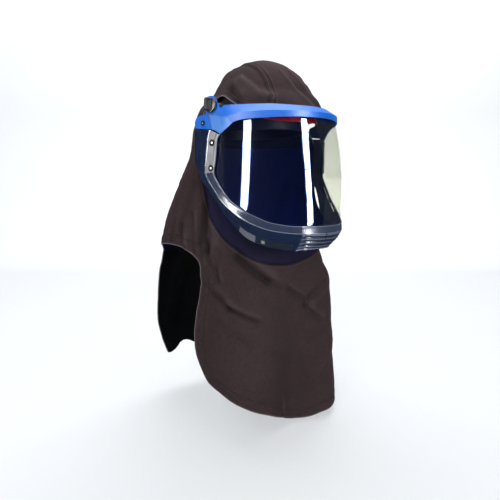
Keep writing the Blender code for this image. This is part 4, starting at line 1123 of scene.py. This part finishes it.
def makeKnobs():
    # shaft, hub and a disc with rounded rims, and the bar to grip
    finish = plasticFinish("knobPlastic", (0.015, 0.0155, 0.011), 0.38, 0.55)
    gap, stand, radius, e = [knob[key] for key in ("gap", "stand", "radius", "edge")]
    disc = stand + knob["disc"]
    profile = [(-knob["reach"], 0), (-knob["reach"], knob["shaft"]), (gap, knob["shaft"]), (gap, knob["hub"]),
               (stand, knob["hub"]), (stand, radius - e * 0.4), (stand + e * 0.4, radius), (disc - e, radius),
               (disc - e * 0.3, radius - e * 0.3), (disc, radius - e), (disc, 0)]
    for side, name in sides:
        distance, z = side * knob["place"][0], knob["place"][1]
        point, axis = visorPoint(distance, z, knob["off"]), visorNormal(distance, z)
        discPoints, discFaces = turned(point, axis, profile, knob["sides"])
        bar = roundedBar(axis, *turnedFrame(axis), point, disc - knob["sunk"], disc + knob["gripTall"])
        points, faces = joined((discPoints, discFaces[:, ::-1]), bar)
        piece = weldPoles(makePiece("turnKnob" + name.capitalize(), points, faces, smooth=38))
        dress(piece, finish, replaces=["knob_" + name], body="knob_" + name + "_body")


makeKnobs()
print("knobs made")

cap = {
    "sections": (
        (0.0427, 0, 0, 0, 0, 0), (0.04, 0.026, 0.025, 0.024, 0.026, 0.028),
        (0.0305, 0.05, 0.048, 0.045, 0.05, 0.054), (0.014, 0.0735, 0.0685, 0.0645, 0.0715, 0.0795),
        (-0.008, 0.094, 0.086, 0.08, 0.09, 0.1), (-0.03, 0.106, 0.096, 0.091, 0.102, 0.113),
        (-0.052, 0.114, 0.102, 0.0965, 0.109, 0.12), (-0.064, 0.12, 0.105, 0.098, 0.111, 0.123),
        (-0.076, 0.13, 0.108, 0.099, 0.112, 0.125), (-0.092, 0.142, 0.113, 0.1, 0.114, 0.127),
    ),
    "outline": ((0, -0.0868), (22, -0.086), (33, -0.0815), (43, -0.0765), (52, -0.0755), (190, -0.0755)),
    "wall": 0.0022, "columns": 150, "rows": 56,
}
band = {
    "sections": (
        (0.0017, 0, 0, 0, 0, 0), (-0.001, 0.03, 0.028, 0.026, 0.028, 0.03),
        (-0.012, 0.06, 0.055, 0.05, 0.055, 0.062), (-0.032, 0.082, 0.074, 0.068, 0.077, 0.088),
        (-0.055, 0.094, 0.083, 0.076, 0.087, 0.1), (-0.066, 0.098, 0.086, 0.079, 0.09, 0.103),
        (-0.098, 0.1, 0.088, 0.08, 0.091, 0.104),
    ),
    "top": -0.066, "strap": 0.012, "wall": 0.0016, "columns": 160, "rows": 60,
}


def latticeWall(name, look, wall, measure):
    # closed wall over the part of a lattice where the measure is below zero
    lattice = Lattice(wall, look["columns"], look["rows"], [measure])
    faces = withoutPinches(lattice.faces[measure(lattice.centres()) < 0])
    points = wall.point(*lattice.places.T)
    return wallPiece(name, points, pointNormals(points, lattice.faces), faces, look["wall"])


def makeCap():
    wall = Wall(cap["sections"])
    piece = latticeWall("hardCap", cap, wall, ringDistance(smoothRing(cap["outline"], closeAbove=0.2), wall))
    finish = plasticFinish("capPlastic", (0.6, 0.012, 0.022), 0.24, 0.8)
    dress(piece, finish, replaces=["hard_cap"])


def makeBand():
    # a band round the head and two straps that cross over it
    wall = Wall(band["sections"])

    def outside(places):
        point = wall.point(*places.T)
        beside = np.abs(point[:, :2]).min(axis=1) - band["strap"]
        return np.minimum(beside, point[:, 2] - band["top"])

    finish = plasticFinish("bandPlastic", (0.006, 0.01, 0.045), 0.5, Specular_IOR_Level=0.1)
    dress(latticeWall("headBand", band, wall, outside), finish, replaces=["headband"])


wing = {
    "angles": (-104, -44), "heights": (-0.026, -0.066), "off": 0.0012, "wall": 0.0028, "corner": 0.35,
    "columns": 40, "rows": 16,
}


def solidOf(node):
    # points and triangles of one of the frame's solids, where it stands
    mesh = nodes[node].data
    mesh.calc_loop_triangles()
    points = np.empty(len(mesh.vertices) * 3)
    mesh.vertices.foreach_get("co", points)
    faces = np.empty(len(mesh.loop_triangles) * 3, int)
    mesh.loop_triangles.foreach_get("vertices", faces)
    turn = np.array(nodes[node].matrix_world)
    return points.reshape(-1, 3) @ turn[:3, :3].T + turn[:3, 3], faces.reshape(-1, 3)


def makeAdapters():
    # the solid block, and the round-cornered wing that it spreads along the cap behind the opening's edge
    finish = plasticFinish("adapterPlastic", (0.009, 0.01, 0.013), 0.42, Specular_IOR_Level=0.25)
    wall = Wall(cap["sections"])
    steps = [np.linspace(-1, 1, wing[key]) for key in ("columns", "rows")]
    across, down = np.meshgrid(*steps, indexing="ij")
    squeeze = np.sqrt(np.clip(1 - wing["corner"] * across ** 8, 0, 1))
    angle = np.radians(np.interp(across, (-1, 1), wing["angles"])).ravel()
    run = wall.runAt(np.interp(down * squeeze, (-1, 1), wing["heights"])).ravel()
    shape, normals = wall.point(angle, run), wall.normal(angle, run)
    faces = gridFaces(wing["columns"], wing["rows"])
    if (pointNormals(shape, faces) * normals).sum() < 0:
        faces = faces[:, ::-1]
    outer, inner = shape + normals * (wing["off"] + wing["wall"]), shape + normals * wing["off"]
    spread, shell = closedWall(outer, inner, faces)
    shell = np.vstack([shell[:, :3], shell[:, [0, 2, 3]]])
    for side, name in sides:
        both = joined(solidOf("cap_adapter_" + name), (spread * [-side, 1, 1], shell[:, ::-side]))
        dress(makePiece("capAdapter" + name.capitalize(), *both), finish,
              replaces=["cap_adapter_" + name])


def dressKeys():
    # the band's keys keep their solids and get a moulded finish
    finish = plasticFinish("keyPlastic", (0.02, 0.021, 0.023), 0.42)
    for number in range(1, 5):
        key = nodes["band_key_%d" % number].data
        key.materials.clear()
        key.materials.append(finish.material)


makeCap()
makeBand()
makeAdapters()
dressKeys()
print("cap and band made")


# ---- room, light and camera

stage = {
    "floor": -0.704, "wide": 9.0, "back": 2.6, "near": -4.0, "curve": 1.1, "tall": 5.0,
    "white": (0.335, 0.35, 0.362), "pale": (0.35, 0.363, 0.373), "glow": (0.95, 0.972, 0.992),
    "lit": 0.53,
}
lamps = {
    # place, aimed at, size, watts, colour
    "key": ((-1.9, -1.3, 1.7), (0, 0, -0.3), (0.9, 1.3), 38, (1.0, 0.98, 0.96)),
    "top": ((0.2, -0.3, 2.6), (0, 0, -0.2), (2.2, 2.2), 33, (1.0, 0.99, 0.98)),
    "fill": ((0.9, -3.0, 0.9), (0, 0, -0.3), (2.0, 1.6), 16, (1.0, 0.97, 0.95)),
    "backdrop": ((0.9, 1.0, 2.8), (1.5, 2.6, 0.6), (4.4, 1.4), 210, (1.0, 1.0, 1.0)),
}
strips = {
    # points down the middle of each strip light, its width and its radiance; only shine reflects them
    "sideStrip": (((-2.62, -0.19, 1.22), (-2.62, 0.16, -0.62)), 0.3, 76),
    "frontStrip": (((0.03, -1.12, 0.9), (-0.2, -1.33, 0.45), (-0.262, -1.43, 0.125), (-0.21, -1.48, -0.267),
                    (-0.029, -1.43, -0.668)), 0.27, 71),
}
shieldMiddle = (-0.08, -0.12, -0.17)
air = {"colour": (0.62, 0.68, 0.86), "strength": 0.115}
shot = {"lens": 30.24, "yaw": 33.98, "pitch": 8.64, "away": 0.9074, "across": 0.0242, "height": -0.204}


def makeStage():
    # floor that curves up into a backdrop: flat, then a quarter circle, then upright
    r = stage["curve"]
    bend = np.linspace(0, math.pi / 2, 24)[1:]
    y = np.concatenate([np.linspace(stage["near"], stage["back"] - r, 12), stage["back"] - r + r * np.sin(bend),
                        np.full(7, stage["back"])])
    z = np.concatenate([np.zeros(12), r - r * np.cos(bend),
                        np.linspace(r, stage["tall"] - stage["floor"], 8)[1:]]) + stage["floor"]
    x = np.linspace(-stage["wide"] / 2, stage["wide"] / 2, 9)[:, None]
    turn = math.radians(-shot["yaw"])
    grid = np.stack([x * math.cos(turn) - y * math.sin(turn), x * math.sin(turn) + y * math.cos(turn),
                     np.broadcast_to(z, (9, len(z)))], -1)
    floor = makePiece("studioFloor", grid.reshape(-1, 3), gridFaces(*grid.shape[:2])[:, ::-1], smooth=60)
    finish = Finish("studioPaper", Specular_IOR_Level=0.4, Emission_Color=(*stage["glow"], 1),
                    Emission_Strength=stage["lit"])
    grain = finish.noise(3.0, 3, 0.5)
    finish.set(Base_Color=finish.layered(stage["white"], (grain, stage["pale"])),
               Roughness=finish.ramp(grain, 0.3, 0.7, 0.07, 0.1))
    floor.data.materials.append(finish.material)
    floor.visible_glossy = False  # polished pieces mirror the strip lights alone


def addLamp(name, size, watts, colour):
    data = bpy.data.lights.new(name, "AREA")
    data.shape = "RECTANGLE"
    data.size, data.size_y = size
    data.energy = watts
    data.color = colour
    return inScene(bpy.data.objects.new(name, data))


def makeLamps():
    for name, (spot, target, size, watts, colour) in lamps.items():
        lamp = addLamp(name, size, watts, colour)
        lamp.location = spot
        lamp.rotation_euler = (Vector(target) - Vector(spot)).to_track_quat("-Z", "Y").to_euler()
        lamp.visible_glossy = name in ("top", "backdrop")
    for name, (points, width, radiance) in strips.items():
        # one upright rectangle for each stretch, turned to face the shield; watts are pi x area x radiance
        for k, (top, bottom) in enumerate(zip(points, points[1:])):
            top, bottom = Vector(top), Vector(bottom)
            up, middle = (top - bottom).normalized(), (top + bottom) / 2
            away = middle - Vector(shieldMiddle)
            away = (away - away.dot(up) * up).normalized()
            tall = (top - bottom).length
            lamp = addLamp(name + str(k), (width, tall), math.pi * width * tall * radiance, (1.0, 1.0, 1.0))
            turn = Matrix((up.cross(away), up, away)).transposed()
            lamp.matrix_world = Matrix.Translation(middle) @ turn.to_4x4()
            lamp.visible_diffuse = False
    world = bpy.data.worlds.new("studioAir")
    bpy.context.scene.world = world
    world.use_nodes = True
    world.node_tree.nodes["Background"].inputs["Color"].default_value = (*air["colour"], 1)
    world.node_tree.nodes["Background"].inputs["Strength"].default_value = air["strength"]


def makeCamera():
    yaw, pitch = math.radians(shot["yaw"]), math.radians(shot["pitch"])
    data = bpy.data.cameras.new("camera")
    data.lens = shot["lens"]
    data.sensor_width = 36.0
    data.clip_start, data.clip_end = 0.02, 60
    camera = inScene(bpy.data.objects.new("camera", data))
    ahead = np.array([math.sin(yaw), math.cos(yaw), 0.0])
    right = np.array([math.cos(yaw), -math.sin(yaw), 0.0])
    camera.location = -shot["away"] * ahead - shot["across"] * right + np.array([0, 0, shot["height"]])
    camera.rotation_euler = (math.pi / 2 - pitch, 0, -yaw)
    bpy.context.scene.camera = camera


makeStage()
makeLamps()
makeCamera()
bpy.context.scene.view_settings.view_transform = "Standard"
print("stage set")
